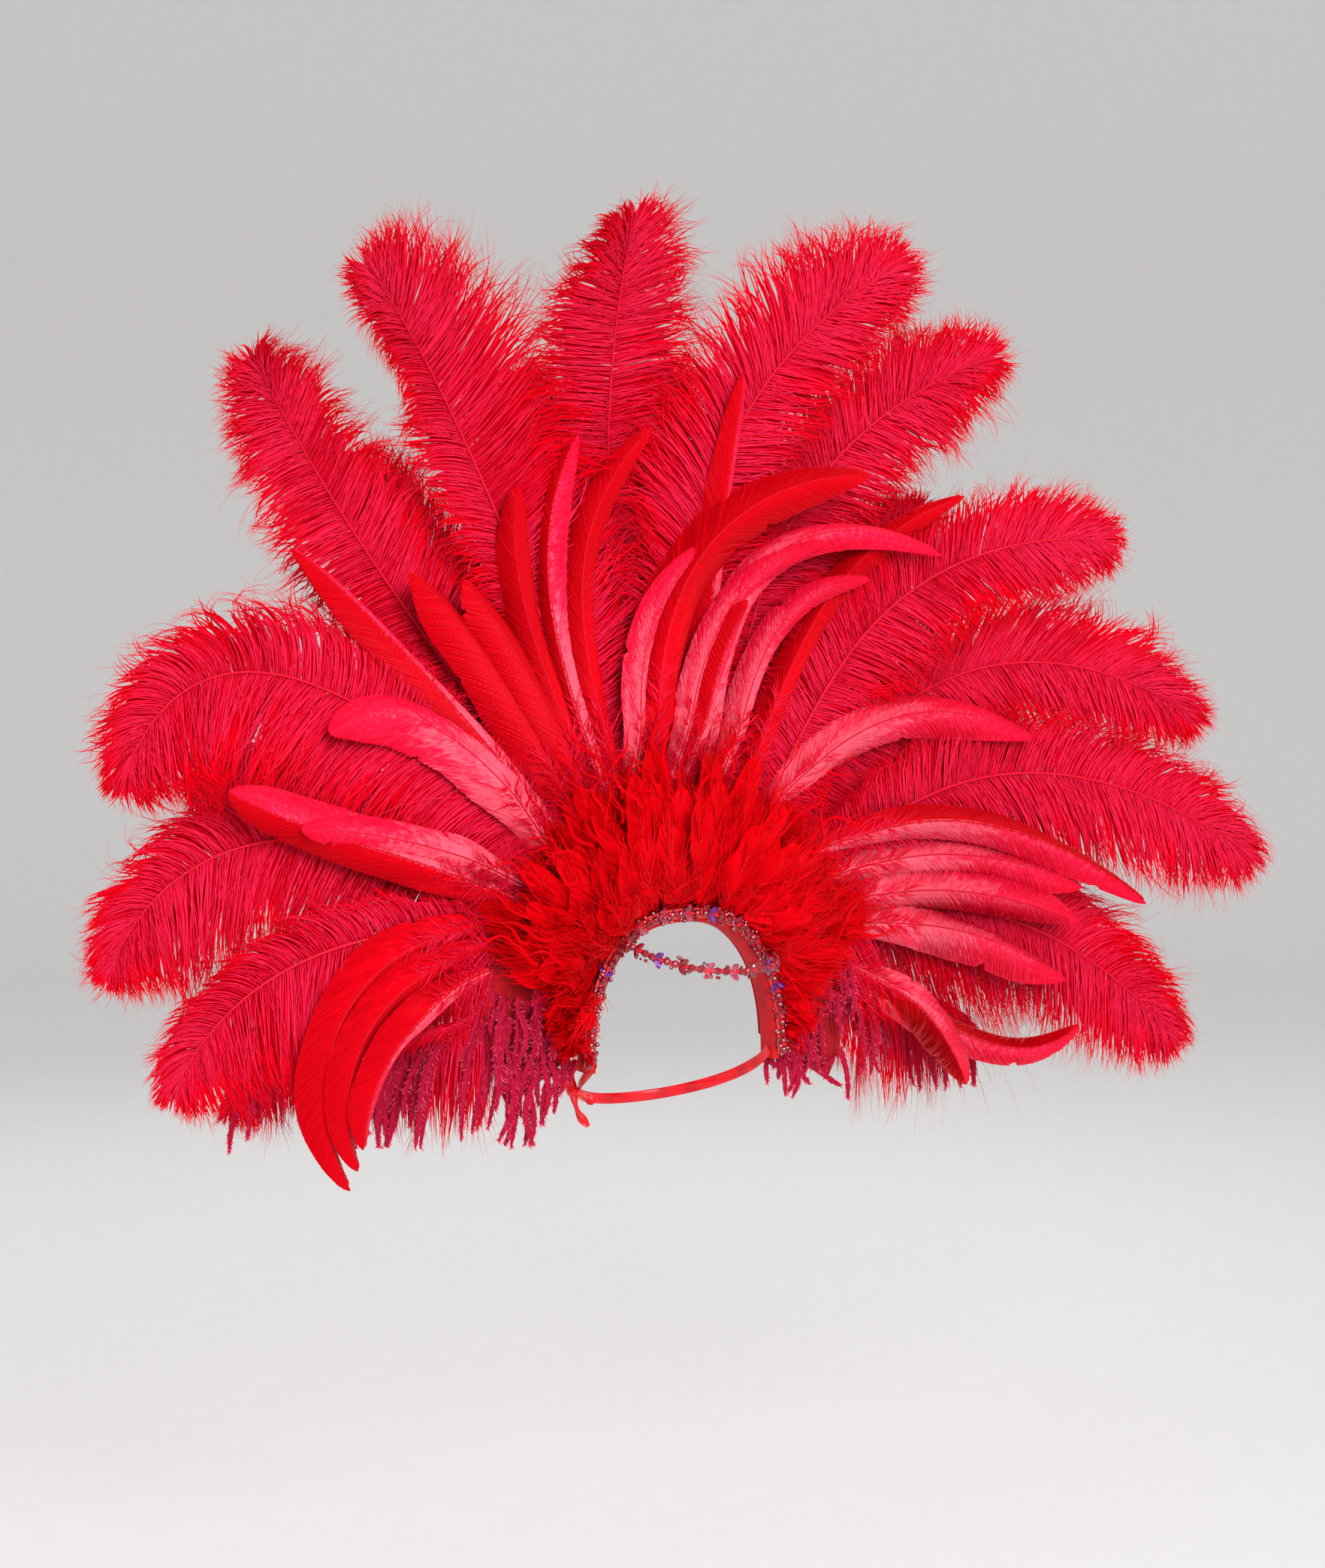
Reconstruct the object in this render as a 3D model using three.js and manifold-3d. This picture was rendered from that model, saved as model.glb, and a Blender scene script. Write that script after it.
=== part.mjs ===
// A carnival feather headdress: a padded arch from ear to ear carries a fan of ostrich plumes,
// long rooster tail feathers, a soft marabou collar, two strings of beads and a satin tie.
// Millimetres, +Z up. The origin is where the arch sits on the crown of the head, and the
// wearer looks along -Y, so the wearer's right hand is on the -X side.

import * as THREE from "three";
import { mergeVertices } from "three/addons/utils/BufferGeometryUtils.js";
import Module from "manifold-3d";

const wasm = await Module();
wasm.setup();

// Driving dimensions of the arch that sits on the head
const ARCH_HALF_WIDTH = 80;
const ARCH_HEIGHT = 116;
const ARCH_SQUARENESS = 2.4;
const BAND_DEPTH = 24;
const BAND_THICKNESS = 9;
const BAND_EDGE_THICKNESS = 6;
const BAND_STATIONS = 24;

// Air left between two pieces that touch
const GAP = 0.3;

// The fan: every feather points away from this centre, in front of or behind the backing
const FAN_CENTRE_HEIGHT = -64;
const FAN_LEAN_START = 190;
const FAN_LEAN = 0.12;
const FAN_CURL_START = 330;
const FAN_CURL_RADIUS = 350;

// The backing that the quills are sewn to
const BACKING_THICKNESS = 3;
const BACKING_REACH = 165;
const BACKING_ANGLE = 118;
const BACKING_OUTSIDE_ARCH = 1;
const BACKING_ARCH_END = 84;
const BACKING_ARCH_STEP = 8;
const BACKING_FRONT = BAND_DEPTH / 2 + GAP;
const BACKING_REAR = BACKING_FRONT + BACKING_THICKNESS;

// Feathers leave the backing's plane between these two reaches
const SPREAD_START = 172;
const SPREAD_LENGTH = 60;
const QUILL_REACH = 112;

// Main ostrich plumes. Angles in degrees from straight up, positive towards the wearer's left,
// and reaches in millimetres, at the quill's foot, half way and at the tip.
// A vane's edges hang back by its droop, and its lock tips sweep forward by a share of its width.
const PLUME = { quill: 2.5, thick: 6.5, droop: 8, sweep: 0.42, stations: 14, vaneStart: 215 };
const PLUMES = [
  { foot: -66, mid: -80, tip: -98, midReach: 295, tipReach: 418, width: 155, layer: 0 },
  { foot: -55, mid: -67, tip: -86, midReach: 350, tipReach: 460, width: 150, layer: 1 },
  { foot: -43, mid: -50.5, tip: -69, midReach: 412, tipReach: 482, width: 175, layer: 0 },
  { foot: -32, mid: -34.5, tip: -36.5, midReach: 400, tipReach: 625, width: 130, layer: 1 },
  { foot: -19, mid: -20, tip: -27.5, midReach: 390, tipReach: 640, width: 165, layer: 0 },
  { foot: -6, mid: -5.5, tip: -5.5, midReach: 395, tipReach: 632, width: 175, layer: 1 },
  { foot: 6, mid: 6, tip: 17, midReach: 395, tipReach: 628, width: 160, layer: 0 },
  { foot: 18, mid: 18, tip: 29, midReach: 385, tipReach: 608, width: 150, layer: 1 },
  { foot: 30, mid: 34, tip: 48.5, midReach: 370, tipReach: 566, width: 135, layer: 0 },
  { foot: 42, mid: 48, tip: 68, midReach: 380, tipReach: 568, width: 145, layer: 1 },
  { foot: 54, mid: 61, tip: 81, midReach: 350, tipReach: 580, width: 165, layer: 0 },
  { foot: 70, mid: 81, tip: 98.5, midReach: 330, tipReach: 528, width: 150, layer: 1 },
];

// Shorter ostrich plumes that fill the fan between and below the main ones
const UNDER = { quill: 2, thick: 5, droop: 6, sweep: 0.42, stations: 10, vaneStart: 180 };
const UNDER_PLUMES = [
  { foot: -86, mid: -97, tip: -105, midReach: 195, tipReach: 272, width: 120, layer: 2 },
  { foot: -76, mid: -91, tip: -103, midReach: 270, tipReach: 365, width: 110, layer: 3 },
  { foot: -49, mid: -58, tip: -66, midReach: 320, tipReach: 430, width: 130, layer: 2 },
  { foot: -25.5, mid: -28, tip: -31, midReach: 330, tipReach: 500, width: 120, layer: 3 },
  { foot: -12.5, mid: -13, tip: -14, midReach: 340, tipReach: 520, width: 120, layer: 2 },
  { foot: 0, mid: 0, tip: 3, midReach: 340, tipReach: 520, width: 110, layer: 3 },
  { foot: 24, mid: 27, tip: 34, midReach: 330, tipReach: 490, width: 120, layer: 2 },
  { foot: 48, mid: 53, tip: 62, midReach: 320, tipReach: 430, width: 120, layer: 3 },
  { foot: 62, mid: 72, tip: 86, midReach: 320, tipReach: 450, width: 120, layer: 2 },
  { foot: 82, mid: 94, tip: 100, midReach: 235, tipReach: 330, width: 100, layer: 3 },
];
const LAYER_DEPTH = 16;
const PLUME_NOTCH = 0.84;
const PLUME_RIDGE = 18;

// Rooster tail feathers in front of the plumes; layers are counted forward from the backing
const COQUE = { quill: 1.2, thick: 1, droop: 1.2, stations: 7, vaneStart: 190 };
const COQUE_FEATHERS = [
  { foot: -24, mid: -23.5, tip: -18.5, midReach: 290, tipReach: 432, width: 24, layer: 5 },
  { foot: -28, mid: -26.5, tip: -28.5, midReach: 270, tipReach: 382, width: 30, layer: 6 },
  { foot: -20, mid: -19, tip: -10.5, midReach: 300, tipReach: 460, width: 22, layer: 2 },
  { foot: -16, mid: -14.5, tip: -2.5, midReach: 310, tipReach: 460, width: 22, layer: 3 },
  { foot: 4, mid: 7.5, tip: 6.5, midReach: 340, tipReach: 508, width: 22, layer: 1 },
  { foot: -9, mid: 0, tip: 22, midReach: 325, tipReach: 460, width: 28, layer: 4 },
  { foot: -12.5, mid: -7.5, tip: 6, midReach: 270, tipReach: 372, width: 22, layer: 8 },
  { foot: -2, mid: 5.5, tip: 20.5, midReach: 285, tipReach: 396, width: 20, layer: 7 },
  { foot: 9.5, mid: 11, tip: 35, midReach: 335, tipReach: 442, width: 22, layer: 5 },
  { foot: 13.5, mid: 16, tip: 28.5, midReach: 290, tipReach: 388, width: 20, layer: 6 },
  { foot: 1, mid: 4.5, tip: 11, midReach: 225, tipReach: 328, width: 22, layer: 9 },
  { foot: 20, mid: 24, tip: 33.5, midReach: 330, tipReach: 494, width: 20, layer: 2 },
  { foot: -32, mid: -30.5, tip: -33.5, midReach: 300, tipReach: 408, width: 30, layer: 4 },
  { foot: -37, mid: -38.5, tip: -42, midReach: 330, tipReach: 482, width: 22, layer: 1 },
  { foot: -42, mid: -42, tip: -53, midReach: 285, tipReach: 364, width: 34, layer: 5 },
  { foot: -56, mid: -63, tip: -64.5, midReach: 285, tipReach: 412, width: 28, layer: 6 },
  { foot: -51, mid: -58, tip: -65, midReach: 240, tipReach: 350, width: 24, layer: 8 },
  { foot: -61, mid: -84, tip: -115.5, midReach: 265, tipReach: 306, width: 34, layer: 3 },
  { foot: -66, mid: -87, tip: -113, midReach: 248, tipReach: 296, width: 30, layer: 5 },
  { foot: -71, mid: -90, tip: -110, midReach: 225, tipReach: 288, width: 28, layer: 7 },
  { foot: 26, mid: 40.5, tip: 60, midReach: 285, tipReach: 410, width: 26, layer: 3 },
  { foot: 42, mid: 63, tip: 83, midReach: 300, tipReach: 470, width: 20, layer: 5 },
  { foot: 52, mid: 67, tip: 80, midReach: 275, tipReach: 418, width: 26, layer: 2 },
  { foot: 60, mid: 73, tip: 84, midReach: 265, tipReach: 405, width: 26, layer: 4 },
  { foot: 67, mid: 79, tip: 91, midReach: 250, tipReach: 388, width: 26, layer: 6 },
  { foot: 75, mid: 92, tip: 108, midReach: 210, tipReach: 290, width: 26, layer: 8 },
  { foot: 84, mid: 100, tip: 97, midReach: 295, tipReach: 415, width: 22, layer: 1 },
];
const COQUE_LAYER_DEPTH = 3;

// The marabou collar: its section from the band outwards, and how far its soft tips reach by
// fan angle. Depths are from the arch's middle plane, and forward is negative.
const COLLAR_LOCKS = 20;
const COLLAR_NOTCH = 0.86;
const COLLAR_END = 84;
const COLLAR_BACK = 8.5;
const COLLAR_LIP = -5;
const COLLAR_ROLL = { outside: 14, depth: -20 };
const COLLAR_CREST = { share: 0.55, depth: -33 };
const COLLAR_TIP_DEPTH = -24;
const COLLAR_REAR = { share: 0.6, depth: 2 };
const COLLAR_REACH = [
  { angle: -120, reach: 140 },
  { angle: -85, reach: 158 },
  { angle: -52, reach: 195 },
  { angle: -27, reach: 232 },
  { angle: 0, reach: 226 },
  { angle: 27, reach: 220 },
  { angle: 54, reach: 182 },
  { angle: 80, reach: 150 },
  { angle: 120, reach: 135 },
];

// Beads and leaves, strung on a cord
const CORD_RADIUS = 1.3;
const BEAD_RADIUS = 3.1;
const BEAD_SIDES = 10;
const LEAF = { length: 9.5, width: 5, thick: 2.4, splay: 42, table: 0.5, back: 0.8 };
const TRIM_UNITS = 10;
const STRAND_UNITS = 8;
const BEADS_PER_UNIT = 2;
const TRIM_ABOVE_BAND = 1.5;
const TRIM_END = 89;
const BEAD_BELT = 0.45;
const LEAF_SETBACK = 0.35;

// The forehead strand's route, hand laid over the brow; its ends are tied to beads of the trim
const STRAND_ENDS = [8.5, 23.5];
const STRAND_ROUTE = [
  [-63, -36, -13],
  [-52, -62, -21],
  [-28, -83, -28],
  [0, -91, -31],
  [28, -83, -31],
  [53, -62, -31],
  [68, -36, -31],
];

// The tie that goes round the back of the head
const TIE_WIDTH = 9;
const TIE_THICKNESS = 1.2;
const TIE_BACK = 96;
const TIE_DROP = 50;
const TIE_START_DEPTH = -6;
const TIE_START_HEIGHT = 8;
const TIE_STATIONS = 28;
const BOW_PLACE = 0.115;
const BOW_KNOT_RADIUS = 5;
const BOW_KNOT_DROP = 5;
const BOW_RIBBON = 7;
const BOW_LOOP = { aim: [-0.5, 0.5, 0.6], length: 16 };
const BOW_TAIL = { aim: [0.25, 0.1, -1], length: 28 };
const BOW_PUFF = 3;

const RED = 0xd8001e;
const DEEP_RED = 0xb40012;

const FORWARD = new THREE.Vector3(0, -1, 0);

function degrees(angle) {
  return (angle * Math.PI) / 180;
}

function smoothStep(x) {
  const t = Math.min(Math.max(x, 0), 1);
  return t * t * (3 - 2 * t);
}

// A curve through three values at 0, 1/2 and 1
function throughThree(a, b, c, t) {
  return a * (2 * t - 1) * (t - 1) + b * 4 * t * (1 - t) + c * t * (2 * t - 1);
}

// How far behind the backing's plane the fan's own surface lies at a given reach
function fanDepth(reach) {
  const lean = FAN_LEAN * Math.max(0, reach - FAN_LEAN_START);
  const curl = Math.max(0, reach - FAN_CURL_START);
  return lean - (curl * curl) / (2 * FAN_CURL_RADIUS);
}

function fanPoint(angle, reach, depth) {
  const a = degrees(angle);
  return new THREE.Vector3(reach * Math.sin(a), depth, FAN_CENTRE_HEIGHT + reach * Math.cos(a));
}

// A point of the arch, a given distance outside its inner line; turn runs from -90 to 90
function archPoint(turn, outside, depth) {
  const a = degrees(turn);
  const power = 2 / ARCH_SQUARENESS;
  const across = Math.sign(a) * Math.abs(Math.sin(a)) ** power;
  const up = Math.abs(Math.cos(a)) ** power;
  return new THREE.Vector3(
    (ARCH_HALF_WIDTH + outside) * across,
    depth,
    (ARCH_HEIGHT + outside) * up - ARCH_HEIGHT,
  );
}

// A closed body lofted through rings with the same number of corners, with flat end caps
function loft(rings) {
  const sides = rings[0].length;
  const positions = rings.flat().flatMap((p) => [p.x, p.y, p.z]);
  const index = [];
  for (let i = 0; i + 1 < rings.length; i += 1) {
    for (let j = 0; j < sides; j += 1) {
      const a = i * sides + j;
      const b = i * sides + ((j + 1) % sides);
      index.push(a, b, b + sides, a, b + sides, a + sides);
    }
  }
  const last = (rings.length - 1) * sides;
  for (let j = 1; j + 1 < sides; j += 1) {
    index.push(0, j + 1, j);
    index.push(last, last + j, last + j + 1);
  }
  return closed(positions, index);
}

// A geometry whose faces point out, whichever way round its rings were given
function closed(positions, index) {
  const geometry = new THREE.BufferGeometry();
  geometry.setAttribute("position", new THREE.Float32BufferAttribute(positions, 3));
  if (signedVolume(positions, index) < 0) {
    index.reverse();
  }
  geometry.setIndex(index);
  geometry.computeVertexNormals();
  return geometry;
}

function signedVolume(positions, index) {
  const [a, b, c] = [new THREE.Vector3(), new THREE.Vector3(), new THREE.Vector3()];
  let sum = 0;
  for (let i = 0; i < index.length; i += 3) {
    a.fromArray(positions, index[i] * 3);
    b.fromArray(positions, index[i + 1] * 3);
    c.fromArray(positions, index[i + 2] * 3);
    sum += a.dot(b.cross(c)) / 6;
  }
  return sum;
}

// The axes of a section across a path: forward along it, front towards the viewer, and side
function sectionFrame(path, t, front = FORWARD) {
  const step = 0.002;
  const forward = path(Math.min(t + step, 1)).sub(path(Math.max(t - step, 0))).normalize();
  const side = new THREE.Vector3().crossVectors(forward, front).normalize();
  return { forward, side, front: new THREE.Vector3().crossVectors(side, forward) };
}

// Moves a point to its place before or behind the backing, by how far out it lies
function layOnFan(point, seat, layerDepth) {
  const reach = Math.hypot(point.x, point.z - FAN_CENTRE_HEIGHT);
  const spread = smoothStep((reach - SPREAD_START) / SPREAD_LENGTH);
  point.y += seat + layerDepth * spread + fanDepth(reach);
  return point;
}

// A feather's midline in the backing's plane, from its foot to its tip
function featherPath(row) {
  return (t) => {
    const angle = throughThree(row.foot, row.mid, row.tip, t);
    const reach = throughThree(QUILL_REACH, row.midReach, row.tipReach, t);
    return fanPoint(angle, reach, 0);
  };
}

// Where along its midline a feather reaches a given distance from the fan's centre
function whereReach(path, target) {
  let t = 0;
  while (t < 1 && Math.hypot(path(t).x, path(t).z - FAN_CENTRE_HEIGHT) < target) {
    t += 0.005;
  }
  return t;
}

// The bare quill as slim rings, the same number of corners as the vane's rings
function quillRings(path, end, radius, corners) {
  return [0, end / 2, end * 0.97].map((t) => {
    const { side, front } = sectionFrame(path, t);
    return corners.map(([u, v]) => path(t)
      .addScaledVector(side, u * radius)
      .addScaledVector(front, v * radius));
  });
}

// An ostrich plume: a quill, then a vane of soft locks whose tips sweep forward and droop
function plume(row, style, seat, layerDepth) {
  const path = featherPath(row);
  const start = whereReach(path, style.vaneStart);
  const hexagon = [[-1, 0], [-0.5, 0.85], [0.5, 0.85], [1, 0], [0.5, -0.85], [-0.5, -0.85]];
  const rings = quillRings(path, start, style.quill, hexagon);
  for (let i = 0; i <= style.stations; i += 1) {
    const s = i / style.stations;
    const t = start + (1 - start) * s;
    const { forward, side, front } = sectionFrame(path, t);
    const lock = i % 2 === 1 ? 1 : PLUME_NOTCH;
    const half = Math.max(style.quill, (row.width / 2) * lock * plumeWidth(s));
    const thick = style.quill + (style.thick - style.quill) * plumeWidth(s);
    const ridge = Math.min(half * 0.4, PLUME_RIDGE);
    const droop = style.droop * (half / (row.width / 2)) ** 2;
    const reachOut = style.sweep * half * (1 - 0.75 * s);
    const centre = path(t);
    const edge = (hand) => centre.clone()
      .addScaledVector(side, hand * half)
      .addScaledVector(front, -droop)
      .addScaledVector(forward, reachOut);
    const near = (hand, face) => centre.clone()
      .addScaledVector(side, hand * ridge)
      .addScaledVector(front, face * thick);
    rings.push([edge(-1), near(-1, 1), near(1, 1), edge(1), near(1, -1), near(-1, -1)]);
  }
  return loft(rings.map((ring) => ring.map((p) => layOnFan(p, seat, layerDepth))));
}

// The share of a plume's width at a place along its vane: soon wide, and round at the tip
function plumeWidth(s) {
  const opening = Math.min(1, 0.12 + 1.75 * s);
  const closing = Math.sqrt(Math.max(0, 1 - Math.max(0, (s - 0.5) / 0.52) ** 2));
  return Math.max(0.1, smoothStep(opening) * closing);
}

// A rooster tail feather: a slim smooth blade that keeps its width and ends in a point
function coque(row, style, seat, layerDepth) {
  const path = featherPath(row);
  const start = whereReach(path, style.vaneStart);
  const diamond = [[-1, 0], [0, 1], [1, 0], [0, -1]];
  const rings = quillRings(path, start, style.quill, diamond);
  for (let i = 0; i <= style.stations; i += 1) {
    const s = i / style.stations;
    const t = start + (1 - start) * s;
    const { side, front } = sectionFrame(path, t);
    const half = (row.width / 2) * coqueWidth(s);
    const centre = path(t);
    const edge = (hand) => centre.clone()
      .addScaledVector(side, hand * half)
      .addScaledVector(front, -style.droop * (half / (row.width / 2)));
    const face = (hand) => centre.clone().addScaledVector(front, hand * style.thick);
    rings.push([edge(-1), face(1), edge(1), face(-1)]);
  }
  return loft(rings.map((ring) => ring.map((p) => layOnFan(p, seat, layerDepth))));
}

// The share of its width that a rooster tail feather has along its blade
function coqueWidth(s) {
  return Math.max(0.12, Math.sin(Math.PI * (0.03 + 0.93 * s ** 0.7)) ** 0.65);
}

// The padded band, ear to ear, crowned on its outside
function headArch() {
  const half = BAND_DEPTH / 2;
  const rings = [];
  for (let i = 0; i <= BAND_STATIONS; i += 1) {
    const turn = -90 + (180 * i) / BAND_STATIONS;
    rings.push([
      archPoint(turn, 0, -half),
      archPoint(turn, 0, half),
      archPoint(turn, BAND_EDGE_THICKNESS, half),
      archPoint(turn, BAND_THICKNESS, 0),
      archPoint(turn, BAND_EDGE_THICKNESS, -half),
    ]);
  }
  return loft(rings);
}

// The stiff crescent: its inner line follows the arch and its outer line is round
function fanBacking() {
  const outline = new THREE.Shape();
  const end = degrees(BACKING_ANGLE);
  const top = degrees(90);
  const inner = [];
  for (let turn = -BACKING_ARCH_END; turn <= BACKING_ARCH_END; turn += BACKING_ARCH_STEP) {
    const p = archPoint(turn, BACKING_OUTSIDE_ARCH, 0);
    inner.push(new THREE.Vector2(p.x, p.z));
  }
  outline.moveTo(inner[0].x, inner[0].y);
  inner.slice(1).forEach((p) => outline.lineTo(p.x, p.y));
  outline.absarc(0, FAN_CENTRE_HEIGHT, BACKING_REACH, top - end, top + end, false);
  outline.closePath();
  const plate = new THREE.ExtrudeGeometry(outline, {
    depth: BACKING_THICKNESS,
    bevelEnabled: false,
    curveSegments: 18,
  });
  plate.rotateX(Math.PI / 2);
  plate.translate(0, BACKING_REAR, 0);
  return plate;
}

// How far the collar's tips reach at a fan angle
function collarReach(angle) {
  const next = COLLAR_REACH.findIndex((row) => row.angle >= angle);
  const [a, b] = [COLLAR_REACH[Math.max(next - 1, 0)], COLLAR_REACH[next]];
  const share = a === b ? 0 : (angle - a.angle) / (b.angle - a.angle);
  return a.reach + (b.reach - a.reach) * smoothStep(share);
}

// The marabou collar: a ring of short soft locks fused to the roll that is sewn on the arch
function marabouCollar() {
  const rings = [];
  const stations = COLLAR_LOCKS * 2;
  for (let i = 0; i <= stations; i += 1) {
    const turn = -COLLAR_END + (2 * COLLAR_END * i) / stations;
    const foot = archPoint(turn, BAND_THICKNESS + GAP, 0);
    const angle = (Math.atan2(foot.x, foot.z - FAN_CENTRE_HEIGHT) * 180) / Math.PI;
    const footReach = Math.hypot(foot.x, foot.z - FAN_CENTRE_HEIGHT);
    const reach = collarReach(angle) * (i % 2 === 1 ? 1 : COLLAR_NOTCH);
    const along = (share) => footReach + (reach - footReach) * share;
    rings.push([
      archPoint(turn, BAND_THICKNESS + GAP, COLLAR_BACK),
      archPoint(turn, BAND_THICKNESS + GAP, COLLAR_LIP),
      archPoint(turn, BAND_THICKNESS + COLLAR_ROLL.outside, COLLAR_ROLL.depth),
      fanPoint(angle, along(COLLAR_CREST.share), COLLAR_CREST.depth),
      fanPoint(angle, reach, COLLAR_TIP_DEPTH),
      fanPoint(angle, along(COLLAR_REAR.share), COLLAR_REAR.depth),
    ]);
  }
  return loft(rings);
}

// A mesh's geometry as a solid, and back
function solid(geometry) {
  const bare = geometry.clone();
  bare.deleteAttribute("normal");
  bare.deleteAttribute("uv");
  const merged = mergeVertices(bare, 1e-4);
  return new wasm.Manifold(new wasm.Mesh({
    numProp: 3,
    vertProperties: new Float32Array(merged.attributes.position.array),
    triVerts: new Uint32Array(merged.index.array),
  }));
}

function meshed(body) {
  const { numProp, vertProperties, triVerts } = body.getMesh();
  const geometry = new THREE.BufferGeometry();
  geometry.setAttribute("position", new THREE.BufferAttribute(vertProperties, numProp));
  geometry.setIndex(new THREE.BufferAttribute(triVerts, 1));
  geometry.computeVertexNormals();
  return geometry;
}

// A leaf-shaped bead with a flat table and eight slanted facets, pointing along +X
function leaf() {
  const half = LEAF.width / 2;
  const outline = [[0, 0], [0.45, -1], [1, 0], [0.45, 1]];
  const girdle = outline.map(([u, v]) => new THREE.Vector3(u * LEAF.length, v * half, 0));
  const middle = new THREE.Vector3(LEAF.length * 0.5, 0, 0);
  const table = girdle.map((p) => p.clone().lerp(middle, LEAF.table).setZ(LEAF.thick / 2));
  const back = girdle.map((p) => p.clone().lerp(middle, LEAF.back).setZ(-LEAF.thick / 2));
  return loft([back, girdle, table]);
}

// Round beads on a cord as one turned string, with a pair of leaves between each group
function beadString(path, units, outward) {
  const rings = [];
  const steps = units * (BEADS_PER_UNIT + 1);
  const length = pathLength(path);
  const pitch = length / steps;
  const ring = (distance, radius) => {
    const t = Math.min(Math.max(distance / length, 0), 1);
    const { side, front } = sectionFrame(path, t, outward(t));
    const corners = [];
    for (let j = 0; j < BEAD_SIDES; j += 1) {
      const a = (2 * Math.PI * j) / BEAD_SIDES;
      corners.push(path(t)
        .addScaledVector(side, radius * Math.cos(a))
        .addScaledVector(front, radius * Math.sin(a)));
    }
    return corners;
  };
  const leafPlaces = [];
  for (let i = 0; i < steps; i += 1) {
    const middle = (i + 0.5) * pitch;
    if (i % (BEADS_PER_UNIT + 1) === 1) {
      leafPlaces.push(middle - pitch * LEAF_SETBACK);
      rings.push(ring(middle - pitch / 2, CORD_RADIUS));
      continue;
    }
    rings.push(ring(middle - pitch / 2, CORD_RADIUS));
    rings.push(ring(middle - BEAD_RADIUS * BEAD_BELT, BEAD_RADIUS));
    rings.push(ring(middle + BEAD_RADIUS * BEAD_BELT, BEAD_RADIUS));
  }
  rings.push(ring(length, CORD_RADIUS));
  let body = solid(loft(rings));
  for (const place of leafPlaces) {
    const t = place / length;
    const { forward, side, front } = sectionFrame(path, t, outward(t));
    for (const hand of [-1, 1]) {
      const aim = new THREE.Matrix4().makeBasis(
        forward.clone().multiplyScalar(Math.cos(degrees(LEAF.splay)))
          .addScaledVector(side, hand * Math.sin(degrees(LEAF.splay))),
        side.clone().multiplyScalar(Math.cos(degrees(LEAF.splay)))
          .addScaledVector(forward, -hand * Math.sin(degrees(LEAF.splay))),
        front.clone().multiplyScalar(hand),
      );
      aim.setPosition(path(t));
      body = body.add(solid(closedCopy(leaf(), aim)));
    }
  }
  return meshed(body);
}

// A turned and moved copy whose faces still point out
function closedCopy(geometry, matrix) {
  const copy = geometry.clone().applyMatrix4(matrix);
  return closed([...copy.attributes.position.array], [...copy.index.array]);
}

function pathLength(path) {
  let length = 0;
  for (let i = 0; i < 200; i += 1) {
    length += path(i / 200).distanceTo(path((i + 1) / 200));
  }
  return length;
}

// The trim runs along the band's front edge, clear of it by the usual gap
function trimPath(t) {
  const depth = -BAND_DEPTH / 2 - GAP - BEAD_RADIUS;
  return archPoint(TRIM_END * (2 * t - 1), BAND_EDGE_THICKNESS + TRIM_ABOVE_BAND, depth);
}

// A strand's end lies against the front of one of the trim's beads
function strandEnd(bead) {
  const seat = trimPath(bead / (TRIM_UNITS * (BEADS_PER_UNIT + 1)));
  return seat.setY(seat.y - BEAD_RADIUS - GAP);
}

const strandCurve = new THREE.CatmullRomCurve3(
  [
    strandEnd(STRAND_ENDS[0]),
    ...STRAND_ROUTE.map((p) => new THREE.Vector3(...p)),
    strandEnd(STRAND_ENDS[1]),
  ],
  false,
  "centripetal",
);

function strandOutward(t) {
  const p = strandCurve.getPoint(t);
  return new THREE.Vector3(p.x, p.y, 0).normalize();
}

// A flat ribbon along a curve: width across, thin towards the outside
function ribbon(path, stations, width, thickness, outward) {
  const rings = [];
  for (let i = 0; i <= stations; i += 1) {
    const t = i / stations;
    const { side, front } = sectionFrame(path, t, outward(t));
    const w = width(t) / 2;
    rings.push([[-w, -1], [w, -1], [w, 1], [-w, 1]].map(([u, v]) => path(t)
      .addScaledVector(side, u)
      .addScaledVector(front, (v * thickness) / 2)));
  }
  return loft(rings);
}

// The tie starts inside the band at each ear and passes round the nape
function tiePath(t) {
  const inside = ARCH_HALF_WIDTH - GAP - TIE_THICKNESS;
  const a = Math.PI * t;
  const start = TIE_START_DEPTH;
  const back = Math.sin(a) ** 0.9;
  return new THREE.Vector3(
    -inside * Math.cos(a),
    start + (TIE_BACK - start) * back,
    TIE_START_HEIGHT - ARCH_HEIGHT - TIE_DROP * Math.sin(a) ** 0.7,
  );
}

function tieOutward(t) {
  const p = tiePath(t);
  return new THREE.Vector3(p.x, Math.max(p.y, 0), 0).normalize();
}

// The bow's knot lies against the tie's outer face
function bowCentre() {
  const clear = TIE_THICKNESS / 2 + GAP + BOW_KNOT_RADIUS;
  const drop = new THREE.Vector3(0, 0, -BOW_KNOT_DROP);
  return tiePath(BOW_PLACE).addScaledVector(tieOutward(BOW_PLACE), clear).add(drop);
}

function bowKnot() {
  const profile = [[0, -1], [0.7, -0.75], [1, 0], [0.7, 0.75], [0, 1]];
  const knot = new THREE.LatheGeometry(
    profile.map(([r, h]) => new THREE.Vector2(r * BOW_KNOT_RADIUS, h * BOW_KNOT_RADIUS)),
    10,
  );
  const { x, y, z } = bowCentre();
  knot.rotateX(Math.PI / 2);
  knot.translate(x, y, z);
  return knot;
}

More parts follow.
